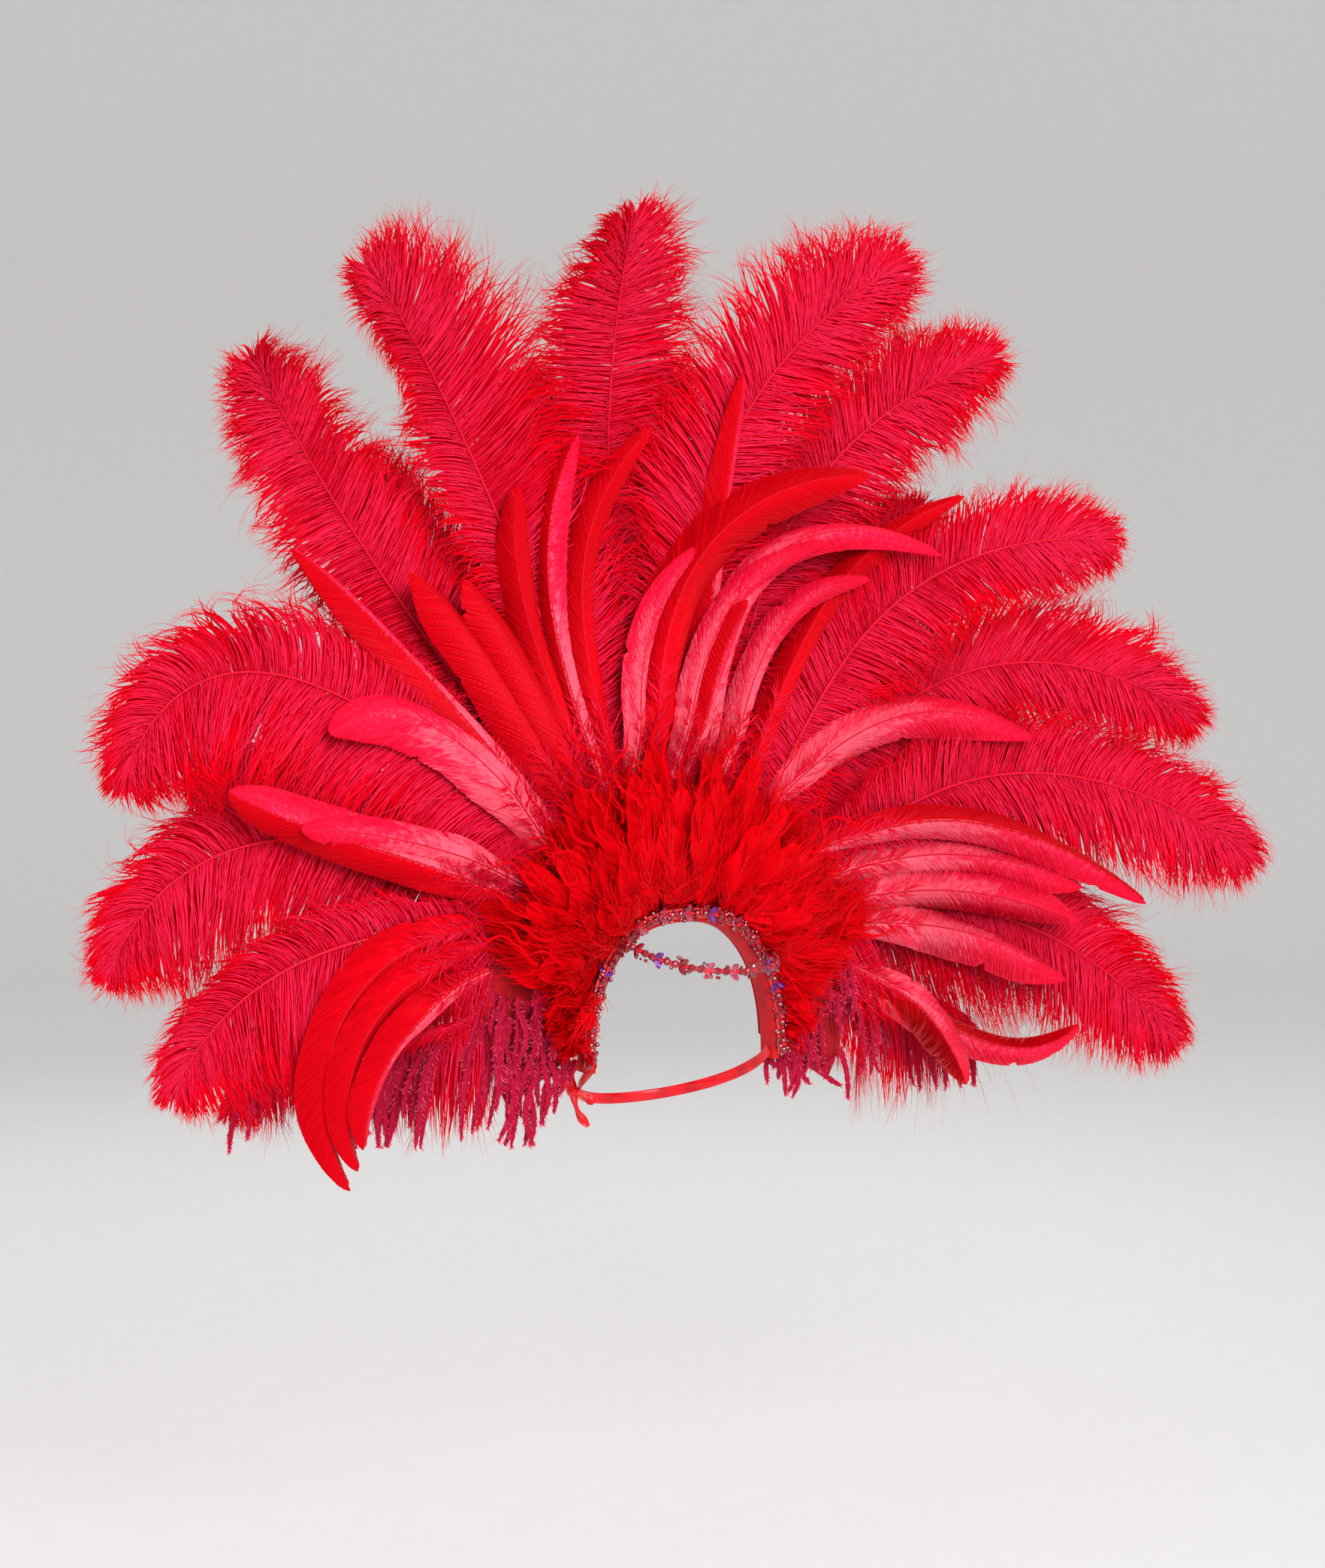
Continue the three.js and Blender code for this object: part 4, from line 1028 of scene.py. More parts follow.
def add_lock(shape, rng, spine):
    """A long barb that hangs down by itself like chenille: a soft core, fuzzy all along."""
    hang = Line(spine)
    count = int(hang.length / LOCK_FUZZ_SPACING)
    share = rng.uniform(0, 1, count)
    base = hang.at(share * hang.length)
    angle = np.radians(rng.uniform(25, 70, count))[:, None] * np.array([[1.0, 0.7]])
    short = LOCK_FUZZ * (1 - 0.35 * share ** 3) * rng.uniform(0.6, 1.15, count)
    spines = grow_barbs(base, rng.choice([-1.0, 1.0], count), angle, short,
                        rng.normal(0.1, 0.7, (count, 1)), 0.0, 0.0)
    widths = np.full((count, 3), LOCK_FUZZ_WIDTH) * np.array([[1.0, 0.8, 0.3]])
    lay_strips(shape, spines, base[2][:, None], widths, np.zeros((count, 3)),
               rng.integers(60, 250, count), CHENILLE)
    along = np.linspace(0, 1, 16)
    radii = LOCK_CORE * (1 + 0.16 * np.sin(along * hang.length * 900 + rng.uniform(0, 6)))
    radii *= np.sqrt(np.maximum(0.04, 1 - along ** 6))
    add_loft(shape, tube_rings(hang, along * hang.length, radii, 6), CHENILLE,
             low=(0, 0.1), high=(0.3, 0.5))


def hanging_spine(rng, point, length, outwards):
    """The line of a barb that leaves outwards, then hangs and sways a little."""
    t = np.linspace(0, 1, 14)[:, None]
    sway = np.array([rng.normal(0, 0.005), rng.uniform(-0.008, 0.003), 0])
    lean_out = np.array([math.copysign(outwards, point[0]), 0, 0.0])
    length = max(0.015, min(length, point[2] - LOCK_LOWEST))
    return (point + lean_out * t ** 0.6 + sway * np.sin(t * rng.uniform(2, 4))
            - np.array([0, 0, length]) * t)


def add_locks(shape, rng, line, start, locks):
    """The long barbs that hang down from a low plume."""
    shares = np.sort(rng.uniform(0.02, 0.92, locks))
    root, _, _, _ = line.at(start + shares * (line.length - start))
    for point in root:
        add_lock(shape, rng, hanging_spine(rng, point, rng.uniform(*LOCK_LENGTH), 0.018))


def add_quill(shape, line, radius, sides, slot):
    """A quill that thins towards the feather's tip."""
    share = np.linspace(0, 0.96, 48)
    radii = radius * (1 - 0.70 * share ** 1.3)
    _, _, front, _ = line.at(share * line.length)
    rings = tube_rings(line, share * line.length, radii, sides)
    add_loft(shape, rings + front[:, None] * radius * 1.1, slot)


def build_plume(name, feather, style, settings, seed, materials):
    """A whole ostrich plume: its quill, layers of barbs, and loose strands."""
    rng = np.random.default_rng(seed)
    line, reach = feather_line(feather, style, PLUME_LAYER_DEPTH)
    start = np.interp(style["vane_start"], reach, line.distance)
    edges = {hand: vane_edge(rng) for hand in (-1, 1)}
    shape = Shape()
    for layer in BARB_LAYERS:
        for hand in (-1, 1):
            add_vane_barbs(shape, rng, line, start, feather, layer, hand, edges[hand], settings)
    if feather.get("locks"):
        add_locks(shape, rng, line, start, feather["locks"])
    add_quill(shape, line, style["quill"], 7, PLUME_QUILL)
    return shape.build(name, materials, [name], "ostrich_vane")


def blade_edge(rng, share, notches):
    """The share of its half width that a blade keeps at each station, with splits in it."""
    keep = 1 + 0.02 * np.sin(share * rng.uniform(10, 20) + rng.uniform(0, 6))
    keep += rng.normal(0, 0.006, len(share))
    for _ in range(notches):
        centre, half = rng.uniform(0.15, 0.95), rng.uniform(0.004, 0.010)
        depth = rng.uniform(0.10, 0.45)
        keep -= depth * np.maximum(0, 1 - np.abs(share - centre) / half)
    return np.clip(keep, 0.25, 1.05)


def blade_sheets(rng, line, start, feather, settings, stations, columns):
    """The front and back faces of each half of a blade, folded back a little at the quill."""
    share = np.linspace(0, 1, stations)
    half = feather["width"] * feather.get("spread", BLADE_SPREAD) / 2 * coque_width(share)
    point, tangent, front, side = line.at(start + share * (line.length - start))
    roll = np.radians(np.interp(share, [0, 1], feather["roll"]))[:, None]
    side, front = (side * np.cos(roll) + front * np.sin(roll),
                   front * np.cos(roll) - side * np.sin(roll))
    across = np.linspace(0, 1, columns + 1)
    faces = {}
    for hand in (-1, 1):
        keep = blade_edge(rng, share, settings.notches)
        fold = settings.fold * rng.uniform(0.3, 1.4)
        wave = 0.10 * np.sin(share * rng.uniform(9, 16) + rng.uniform(0, 6))
        out = side * hand * math.cos(fold) - front * (math.sin(fold) + wave)[:, None]
        reach_out = (half * keep)[:, None] * across[None]
        cup = -BLADE_CUP * reach_out ** 2 / (feather["width"] / 2)
        body = (point[:, None] + out[:, None] * reach_out[..., None]
                + front[:, None] * cup[..., None]
                + tangent[:, None] * (reach_out * 0.9 * (1 - share)[:, None] ** 0.5)[..., None])
        thin = COQUE["thick"] / 2 * (1 - 0.8 * across)[None, :, None]
        faces[hand] = (body + front[:, None] * thin, body - front[:, None] * thin)
    return faces


def blade_map(share, across, hand, underside=False):
    """Where a place of a blade lies on its colour map: along it, and from edge to edge."""
    middle = UNDERSIDE_ROW if underside else FACE_ROW
    return np.stack(np.broadcast_arrays(share, middle + hand * ROW_HALF * across), axis=-1)


def add_blade_half(shape, sheets, hand, slot):
    """One half of a blade, with its face and its underside."""
    stations, columns = sheets[0].shape[:2]
    share = np.linspace(0, 1, stations)[:, None]
    across = np.linspace(0, 1, columns)[None]
    quads = grid_faces(stations, columns)
    for face in (0, 1):
        turned = quads[:, ::-1] if (hand > 0) != (face == 0) else quads
        shape.add(sheets[face], turned, blade_map(share, across, hand, face == 1), slot)


def add_blade_barbs(shape, rng, line, start, feather, sheets, hand, slot):
    """Hooked barbs laid over the face of a blade, whose ends fray along its edge."""
    face = sheets[0]
    stations, columns = face.shape[:2]
    count = int((line.length - start) / BLADE_BARB_SPACING)
    share = (np.arange(count) + rng.uniform(0, 1, count)) / count * 0.97
    along = np.linspace(0, 1, 5)[None]
    sweep = BLADE_SWEEP * np.sqrt(1 - share)[:, None] * rng.uniform(0.8, 1.3, (count, 1))
    where = np.clip(share[:, None] + sweep * along, 0, 1)
    out = along * rng.uniform(0.95, 1.05, (count, 1))
    row, column = where * (stations - 1), np.minimum(out, 0.999) * (columns - 1)
    low, inner = np.minimum(row.astype(int), stations - 2), column.astype(int)
    up, outer = (row - low)[..., None], (column - inner)[..., None]
    spines = ((face[low, inner] * (1 - up) + face[low + 1, inner] * up) * (1 - outer)
              + (face[low, inner + 1] * (1 - up) + face[low + 1, inner + 1] * up) * outer)
    direction = unit(np.gradient(spines, axis=1))
    front = line.at(start + share * (line.length - start))[2][:, None]
    spines += direction * np.maximum(0, out - 0.999)[..., None] * feather["width"] * 0.5
    spines += front * (BLADE_BARB_LIFT + BLADE_BARB_LIFT * rng.uniform(0, 1, (count, 1))
                       + BLADE_BARB_LIFT * along ** 3)[..., None]
    across = unit(np.cross(direction, np.broadcast_to(front, direction.shape)))
    across = unit(across + front * rng.normal(0, 0.06, (count, 1, 1)))
    widths = BLADE_BARB_WIDTH * (1 - 0.80 * along ** 4) * rng.uniform(0.8, 1.2, (count, 1))
    points, faces = strips(spines, across, widths)
    shift = rng.uniform(-0.03, 0.03, (count, 1))
    place = blade_map(np.clip(share[:, None] + shift + 0.002 * along, 0, 1),
                      np.minimum(out, 1), hand)
    maps = np.repeat(place[:, :, None], 2, axis=2)
    shape.add(points, faces, maps, slot)


def add_blade_down(shape, rng, line, start, length, slot):
    """Loose down at the foot of a blade."""
    count, steps = BLADE_DOWN_BARBS, 6
    share = rng.uniform(0, 1, count) ** 1.4
    base = line.at(start + share * length)
    middle = (np.arange(steps) + 0.5) / steps
    angle = np.radians(rng.uniform(12, 60, count))[:, None] + (
        rng.normal(0, 0.7, (count, 1)) * (middle - 0.3)[None])
    reach_out = BLADE_DOWN_LENGTH * (1 - 0.5 * share) * rng.uniform(0.4, 1, count)
    spines = grow_barbs(base, rng.choice([-1.0, 1.0], count), angle, reach_out, 0.15, 0.0,
                        rng.normal(0, 0.30, (count, 1, 3)) * middle[None, :, None])
    widths = BLADE_DOWN_WIDTH * (1 - 0.8 * np.linspace(0, 1, steps + 1) ** 3)[None]
    lay_strips(shape, spines, base[2][:, None], widths * rng.uniform(0.6, 1.3, (count, 1)),
               np.zeros((count, steps + 1)), rng.integers(40, 220, count), slot)


def build_coque(name, feather, settings, seed, materials):
    """A rooster tail feather: a smooth folded blade with split edges, down at its foot."""
    rng = np.random.default_rng(seed)
    line, reach = feather_line(feather, COQUE, COQUE_LAYER_DEPTH)
    start = np.interp(COQUE["vane_start"], reach, line.distance)
    sheets = blade_sheets(rng, line, start, feather, settings, 64, 4)
    shape = Shape()
    for hand in (-1, 1):
        # A pale half takes the underside's colour, or the milder blush if soft, and of a blade
        # with no pale half the half on the +X side takes the blush: these colours are partly paler
        # dye and partly painted sheen of a half turned aside
        if feather["pale"] in (hand, 2):
            slot = BLUSH_AND_SHEEN if feather.get("soft") else UNDERSIDE_AND_SHEEN
        else:
            slot = FACE if feather["pale"] or hand < 0 else BLUSH_AND_SHEEN
        add_blade_half(shape, sheets[hand], hand, slot)
        add_blade_barbs(shape, rng, line, start, feather, sheets[hand], hand, slot)
    add_quill(shape, line, COQUE["quill"], 6, BLADE_QUILL)
    add_blade_down(shape, rng, line, start, (line.length - start) * BLADE_DOWN_SHARE, DOWN)
    return shape.build(name, materials, [name], "coque_vane")


def collar_reach(angle):
    """How far the collar's rim lies from the fan's centre at a fan angle."""
    angles = [row["angle"] for row in COLLAR_REACH]
    reaches = [row["reach"] for row in COLLAR_REACH]
    return np.interp(angle, angles, reaches)


def bezier(a, b, c, t):
    """Points of a curve from a to c that leans towards b."""
    t = t[:, None]
    return a * (1 - t) ** 2 + b * 2 * t * (1 - t) + c * t ** 2


def add_tuft(shape, rng, foot, control, tip, spread, row):
    """A soft marabou feather: a thin quill, a silky curling vane of swept barbs, and a haze
    of fine ones round it; row is its place on the colour map."""
    line = Line(bezier(foot, control, tip, np.linspace(0, 1, 14)))
    share = np.linspace(0, 1, TUFT_STATIONS)[:, None]
    across = np.linspace(-1, 1, TUFT_COLUMNS)[None]
    out = np.abs(across)
    point, _, front, side = line.at(np.minimum(1, share * 0.84 + 0.20 * out) * line.length)
    half = spread * TUFT_VANE * np.sin(math.pi * (0.10 + 0.89 * share)) ** 0.7
    half = half * (1 + 0.14 * np.sin(share * rng.uniform(9, 16) + rng.uniform(0, 6)))
    curl = half * (rng.uniform(-0.5, 0.3) * out ** 2 + rng.normal(0, 0.15) * across)
    curl = curl + 0.0022 * np.sin(share * rng.uniform(8, 13) + across * rng.uniform(-3, 3)
                                  + rng.uniform(0, 6))
    sheet = clear_of_trim(point + side * (across * half)[..., None] + front * curl[..., None])
    place = np.stack(np.broadcast_arrays(out * 0.8, (row + share * 40) / MAP_ROWS), axis=-1)
    shape.add(sheet, grid_faces(TUFT_STATIONS, TUFT_COLUMNS), place)
    count, steps = TUFT_BARBS, 5
    middle = (np.arange(steps) + 0.5) / steps
    along = np.linspace(0, 1, steps + 1)
    share = (np.arange(count) + rng.uniform(0, 1, count)) / count * 0.92
    base = line.at(share * line.length)
    lean = np.radians(36 - 28 * share + rng.normal(0, 7, count))
    length = spread * rng.uniform(0.6, 1.0, count) * (1 - 0.45 * share ** 2)
    angle = lean[:, None] - rng.normal(0.5, 0.5, (count, 1)) * (middle - 0.3)[None]
    lift = np.sin(rng.normal(0.2, 0.5, count))[:, None] * np.sin(angle)
    spines = clear_of_trim(grow_barbs(base, rng.choice([-1.0, 1.0], count), angle, length, lift,
                                      0.0, rng.normal(0, 0.10, (count, steps, 3))))
    widths = TUFT_BARB_WIDTH * (1 - 0.85 * along ** 2)[None] * rng.uniform(0.7, 1.2, (count, 1))
    turn = rng.normal(0, 0.3, count)[:, None] + np.zeros(steps + 1)
    rows = np.minimum(rng.integers(row, row + 70, count), MAP_ROWS - 1)
    lay_strips(shape, spines, base[2][:, None], widths, turn, rows)
    distances = np.linspace(0, line.length, 6)
    quill = clear_of_trim(tube_rings(line, distances, np.linspace(*TUFT_QUILL, 6), 4))
    add_loft(shape, quill, PLUME_QUILL)


def clear_of_trim(points):
    """Keeps the down from hanging in front of the beads along the arch's edge."""
    x, y, z = points[..., 0], points[..., 1], points[..., 2]
    across = np.abs(x) / (ARCH_HALF_WIDTH + COLLAR_INNER)
    up = np.maximum(0, z + ARCH_HEIGHT) / (ARCH_HEIGHT + COLLAR_INNER)
    inside = (across ** ARCH_SQUARENESS + up ** ARCH_SQUARENESS) < 1
    result = points.copy()
    result[..., 1] = np.where(inside, np.maximum(y, -0.008), y)
    return result


def build_collar(settings):
    """The ruff of marabou tufts sewn along the arch, and the down that hides the felt."""
    rng = np.random.default_rng(COLLAR_SEED)
    shape = Shape()
    for i in range(settings.tufts):
        layer = COLLAR_LAYERS[i % len(COLLAR_LAYERS)]
        turn = COLLAR_END * math.sin(rng.uniform(-1.25, 1.25))
        short = 0.5 if abs(turn) > COLLAR_FULL else 1.0
        foot = arch_point(turn, BAND_THICKNESS + rng.uniform(0, 0.004),
                          rng.uniform(*layer["foot"]))
        angle = math.degrees(math.atan2(foot[0], foot[2] - FAN_CENTRE_HEIGHT))
        foot_reach = math.hypot(foot[0], foot[2] - FAN_CENTRE_HEIGHT)
        share = rng.uniform(*layer["share"]) * short
        reach = foot_reach + (collar_reach(angle) - foot_reach) * share
        tip = fan_point(angle + rng.normal(0, 6), reach, rng.uniform(*layer["depth"]))
        middle = (foot + tip) / 2 + rng.normal(0, 0.007, 3)
        middle[1] -= rng.uniform(0.004, 0.014) * short
        add_tuft(shape, rng, foot, middle, tip, settings.barb_length * short,
                 rng.integers(*layer["row"]))
    for _ in range(settings.backing_tufts):
        angle = rng.uniform(-COLLAR_FULL - 20, COLLAR_FULL + 20)
        reach = rng.uniform(0.120, 0.155)
        foot = fan_point(angle, reach, BACKING_FRONT - 0.001)
        tip = fan_point(angle, reach + rng.uniform(0.015, 0.040),
                        BACKING_FRONT - rng.uniform(0.002, 0.012))
        middle = (foot + tip) / 2 + rng.normal(0, 0.003, 3) - [0, 0.006, 0]
        # The tufts over the felt, furthest back, take the darker bands of the map: painted shade
        add_tuft(shape, rng, foot, middle, tip, settings.barb_length * 0.8,
                 rng.integers(0, 90))
    for hand in (-1, 1):
        for _ in range(settings.end_locks):
            root = fan_point(hand * rng.uniform(74, BACKING_ANGLE),
                             rng.uniform(0.118 if hand < 0 else 0.096, 0.164),
                             BACKING_FRONT - rng.uniform(0.002, 0.012))
            length = rng.uniform(0.020, 0.075 if hand < 0 else 0.050)
            add_lock(shape, rng, hanging_spine(rng, root, length, 0.004))
        for _ in range(settings.end_locks // 2):
            root = fan_point(hand * rng.uniform(96, BACKING_ANGLE), rng.uniform(0.100, 0.124),
                             BACKING_FRONT - rng.uniform(0.002, 0.010))
            add_lock(shape, rng, hanging_spine(rng, root, 0.016, 0.002))
    add_wisps(shape, rng, settings.wisps)
    return shape


def add_wisps(shape, rng, count):
    """Dark curling wisps that stand up out of the collar between the rooster feathers."""
    angle = rng.uniform(-76, 76, count)
    root = fan_point(angle, collar_reach(angle) * rng.uniform(0.66, 0.92, count),
                     rng.uniform(-0.036, -0.016, count))
    outwards = unit(fan_point(angle, 1.0, 0.0) - fan_point(angle, 0.5, 0.0))
    front = np.broadcast_to(FORWARD, outwards.shape)
    base = (root, outwards, front, np.cross(outwards, front))
    steps = 9
    middle = (np.arange(steps) + 0.5) / steps
    turn = rng.normal(0, 0.9, (count, 1)) * (middle - 0.2)[None] + rng.normal(0, 0.3, (count, 1))
    turn += 0.5 * np.sin(middle * 7 + rng.uniform(0, 6.3, (count, 1)))
    lift = rng.normal(0.1, 0.3, (count, 1)) * middle[None]
    spines = grow_barbs(base, 1.0, turn, rng.uniform(0.035, 0.075, count), lift, 0.0, 0.0)
    along = np.linspace(0, 1, steps + 1)
    widths = rng.uniform(0.0012, 0.0034, (count, 1)) * (1 - 0.92 * along ** 1.5)[None]
    bend = rng.normal(0, 0.6, (count, 1)) * along[None]
    lay_strips(shape, spines, front[:, None], widths, bend, rng.integers(0, 30, count))


def band_shape():
    """The padded band, ear to ear, gathered a little between its stitches."""
    turn = np.linspace(-90, 90, 145)
    section = np.linspace(0, 2 * np.pi, 28, endpoint=False)
    rings = []
    for t in turn:
        pucker = 1 + 0.10 * math.sin(math.radians(t) * 26)
        ring = []
        for a in section:
            outside = BAND_EDGE_THICKNESS / 2 + 0.0004
            bulge = outside * np.sign(math.sin(a)) * abs(math.sin(a)) ** 0.7
            if bulge > 0:
                bulge *= (BAND_THICKNESS - BAND_EDGE_THICKNESS / 2) / outside * 0.9 * pucker
            depth = BAND_DEPTH / 2 * np.sign(math.cos(a)) * abs(math.cos(a)) ** 0.6
            ring.append(arch_point(t, BAND_EDGE_THICKNESS / 2 + bulge, depth))
        rings.append(ring)
    shape = Shape()
    add_loft(shape, np.array(rings))
    return shape


def backing_shape():
    """The stiff felt crescent behind the arch: two faces with soft cut edges."""
    stations, rows = 121, 9
    turn = np.linspace(-BACKING_ARCH_END, BACKING_ARCH_END, stations)
    angle = np.linspace(-BACKING_ANGLE, BACKING_ANGLE, stations)
    inner = arch_point(turn, BACKING_OUTSIDE_ARCH, 0.0)
    outer = fan_point(angle, BACKING_REACH, 0.0)
    share = np.linspace(0, 1, rows)[None, :, None]
    sheet = inner[:, None] * (1 - share) + outer[:, None] * share
    edge = np.minimum(share, 1 - share)[..., 0] * (rows - 1)
    half = BACKING_THICKNESS / 2 * (0.55 + 0.45 * smooth_step(edge))
    middle = BACKING_FRONT + BACKING_THICKNESS / 2
    rings = []
    for hand in (-1, 1):
        face = sheet[:, ::-hand].copy()
        face[..., 1] = middle + hand * half
        rings.append(face)
    shape = Shape()
    add_loft(shape, np.concatenate(rings, axis=1))
    return shape


def trim_point(share):
    """The line of the bead trim, along the band's front edge."""
    depth = -BAND_DEPTH / 2 - GAP - BEAD_RADIUS
    return arch_point(TRIM_END * (2 * share - 1), BAND_EDGE_THICKNESS + TRIM_ABOVE_BAND, depth)


def catmull_rom(points, samples):
    """A centripetal curve through points, a given number of samples to each stretch."""
    points = np.asarray(points, float)
    ends = [2 * points[0] - points[1], *points, 2 * points[-1] - points[-2]]
    found = []
    for i in range(len(points) - 1):
        p = np.array(ends[i:i + 4])
        knots = np.concatenate([[0], np.cumsum(np.linalg.norm(np.diff(p, axis=0), axis=1) ** 0.5)])
        t = np.linspace(knots[1], knots[2], samples, endpoint=i == len(points) - 2)[:, None]
        a = [(knots[j + 1] - t) / (knots[j + 1] - knots[j]) * p[j]
             + (t - knots[j]) / (knots[j + 1] - knots[j]) * p[j + 1] for j in range(3)]
        b = [(knots[j + 2] - t) / (knots[j + 2] - knots[j]) * a[j]
             + (t - knots[j]) / (knots[j + 2] - knots[j]) * a[j + 1] for j in range(2)]
        found.append((knots[2] - t) / (knots[2] - knots[1]) * b[0]
                     + (t - knots[1]) / (knots[2] - knots[1]) * b[1])
    return np.concatenate(found)


def strand_line():
    """The forehead strand's line, from one bead of the trim to another."""
    ends = [trim_point(bead / CAD_TRIM_BEADS) - [0, BEAD_RADIUS + GAP, 0]
            for bead in STRAND_ENDS]
    points = catmull_rom([ends[0], *STRAND_ROUTE, ends[1]], 24)
    outward = unit(points * [1, 1, 0])
    return Line(points, outward)


def bead_mesh(radius, sides, belts):
    """A fire-polished bead: rows of facets, each turned half a facet from the last."""
    rings = []
    for i in range(belts + 1):
        a = math.pi * (0.06 + 0.88 * i / belts)
        turn = math.pi / sides * (i % 2)
        for j in range(sides):
            b = 2 * math.pi * j / sides + turn
            rings.append((radius * math.sin(a) * math.cos(b), radius * math.sin(a) * math.sin(b),
                          radius * math.cos(a)))
    faces = []
    for i in range(belts):
        for j in range(sides):
            a, b = i * sides + j, i * sides + (j + 1) % sides
            c, d = a + sides, b + sides
            faces += [(a, c, b), (b, c, d)] if i % 2 == 0 else [(a, c, d), (a, d, b)]
    for ring, flip in ((0, False), (belts * sides, True)):
        for j in range(1, sides - 1):
            face = (ring, ring + j, ring + j + 1)
            faces.append(face[::-1] if flip else face)
    return np.array(rings), np.array(faces)


def leaf_mesh():
    """A leaf-shaped pressed glass bead along +X, with a table and slanted facets."""
    count = 12
    outline = []
    for i in range(count):
        a = 2 * math.pi * i / count
        u = 0.5 - 0.5 * math.cos(a)
        v = np.sign(math.sin(a)) * abs(math.sin(a)) ** 1.25
        outline.append((u * LEAF_LENGTH, v * LEAF_WIDTH / 2, 0.0))
    girdle = np.array(outline)
    middle = np.array([LEAF_LENGTH * 0.45, 0, 0])
    table = girdle + (middle - girdle) * 0.45 + [0, 0, LEAF_THICKNESS / 2]
    back = girdle + (middle - girdle) * 0.25 - [0, 0, LEAF_THICKNESS / 2]
    points = np.concatenate([back, girdle, table, [middle - [0, 0, LEAF_THICKNESS / 2]],
                             [middle + [0, 0, LEAF_THICKNESS / 2]]])
    faces = []
    for i in range(count):
        j = (i + 1) % count
        for low in (0, count):
            faces += [(low + i, low + j, low + count + j),
                      (low + i, low + count + j, low + count + i)]
        faces += [(3 * count, j, i), (3 * count + 1, 2 * count + i, 2 * count + j)]
    return points, np.array(faces)


def add_copy(shape, points, faces, axes, centre, slot):
    """Places a small faceted mesh with the given axes (3, 3) as rows at a centre."""
    maps = np.zeros((len(points), 2)) + [0.5, 0.5]
    shape.add(points @ axes + centre, faces, maps, slot, smooth=False)


def build_string(rng, line, units, seeds, cord_radius):
    """A string of round beads and leaf pairs on its cord, with seed beads beside each."""
    shape = Shape()
    steps = units * STEPS_PER_UNIT
    pitch = line.length / steps
    bead, bead_faces = bead_mesh(BEAD_RADIUS, 10, 6)
    seed, seed_faces = bead_mesh(1.0, 8, 4)
    leaf, leaf_faces = leaf_mesh()
    cord = np.linspace(0, line.length, steps * 4)
    add_loft(shape, tube_rings(line, cord, cord_radius, 8), CORD)
    splay = math.radians(LEAF_SPLAY)
    for i in range(steps):
        middle = (i + 0.5) * pitch
        point, tangent, front, side = (v[0] for v in line.at(np.array([middle])))
        if i % STEPS_PER_UNIT == 1:
            tint = int(rng.choice(LEAF_GLASS))
            foot, tangent, front, side = (
                v[0] for v in line.at(np.array([middle - pitch * 0.5])))
            for hand in (-1, 1):
                aim = math.cos(splay) * tangent + hand * math.sin(splay) * side
                tilt = rng.normal(0, 0.15)
                aim = unit(aim + front * tilt)
                face = unit(front - aim * np.dot(front, aim) + side * rng.normal(0, 0.15))
                axes = np.stack([aim, np.cross(face, aim), face])
                add_copy(shape, leaf, leaf_faces, axes, foot + front * 0.0012, tint)
        else:
            axes = np.stack([front, side, tangent])
            add_copy(shape, bead, bead_faces, axes, point + front * 0.0004, RED_GLASS)
        for _ in range(seeds):
            radius = rng.uniform(0.0011, 0.0020)
            offset = (tangent * rng.uniform(-0.5, 0.5) * pitch
                      + side * rng.uniform(-0.0060, 0.0060) + front * rng.uniform(-0.001, 0.001))
            axes = np.stack([front, side, tangent]) * radius
            add_copy(shape, seed, seed_faces, axes, point + offset,
                     int(rng.choice(SEED_GLASS)))
    return shape


def add_braid(shape, line):
    """A flat satin braid behind a string, crossed by its own weave."""
    distances = np.linspace(0, line.length, 260)
    point, _, front, side = line.at(distances)
    columns = np.linspace(-1, 1, 7)
    rings = []
    for hand in (1, -1):
        across = columns[::hand]
        weave = 0.0002 * np.sin(distances * 2 * math.pi / BRAID_PLAIT)[:, None] * np.cos(
            across * math.pi / 2)[None]
        lift = hand * BRAID_THICKNESS / 2 * (1 - across ** 4 * 0.6)[None] + weave
        rings.append(point[:, None] + side[:, None] * (across * BRAID_WIDTH / 2)[None, :, None]
                     + front[:, None] * (lift - BEAD_RADIUS * 0.6)[..., None])
    add_loft(shape, np.concatenate(rings, axis=1), BRAID)


def tie_point(share):
    """The tie's line from ear to ear round the nape."""
    inside = ARCH_HALF_WIDTH - GAP - TIE_THICKNESS
    a = math.pi * share
    back = np.sin(a) ** 0.9
    return np.stack([
        -inside * np.cos(a),
        TIE_START_DEPTH + (TIE_BACK - TIE_START_DEPTH) * back,
        TIE_START_HEIGHT - ARCH_HEIGHT - TIE_DROP * np.sin(a) ** 0.7,
    ], axis=-1)


def tie_outward(points):
    """The direction that the tie's outer face looks in at each of its points."""
    return unit(np.stack([points[..., 0], np.maximum(points[..., 1], 0),
                          np.zeros(points.shape[:-1])], axis=-1))


def add_ribbon_body(shape, line, widths, thickness, ripple):
    """A soft ribbon with rounded edges and long ripples across its width."""
    stations = len(widths)
    distances = np.linspace(0, line.length, stations)
    point, _, front, side = line.at(distances)
    columns = np.linspace(-1, 1, 9)
    fold = ripple * np.sin(columns[None] * 5 + distances[:, None] * 160)
    rings = []
    for hand in (1, -1):
        across = columns[::hand]
        lift = hand * thickness / 2 * (1 - across ** 4 * 0.7) + fold[:, ::hand]
        out = across[None] * widths[:, None] / 2
        rings.append(point[:, None] + side[:, None] * out[..., None]
                     + front[:, None] * lift[..., None])
    add_loft(shape, np.concatenate(rings, axis=1))


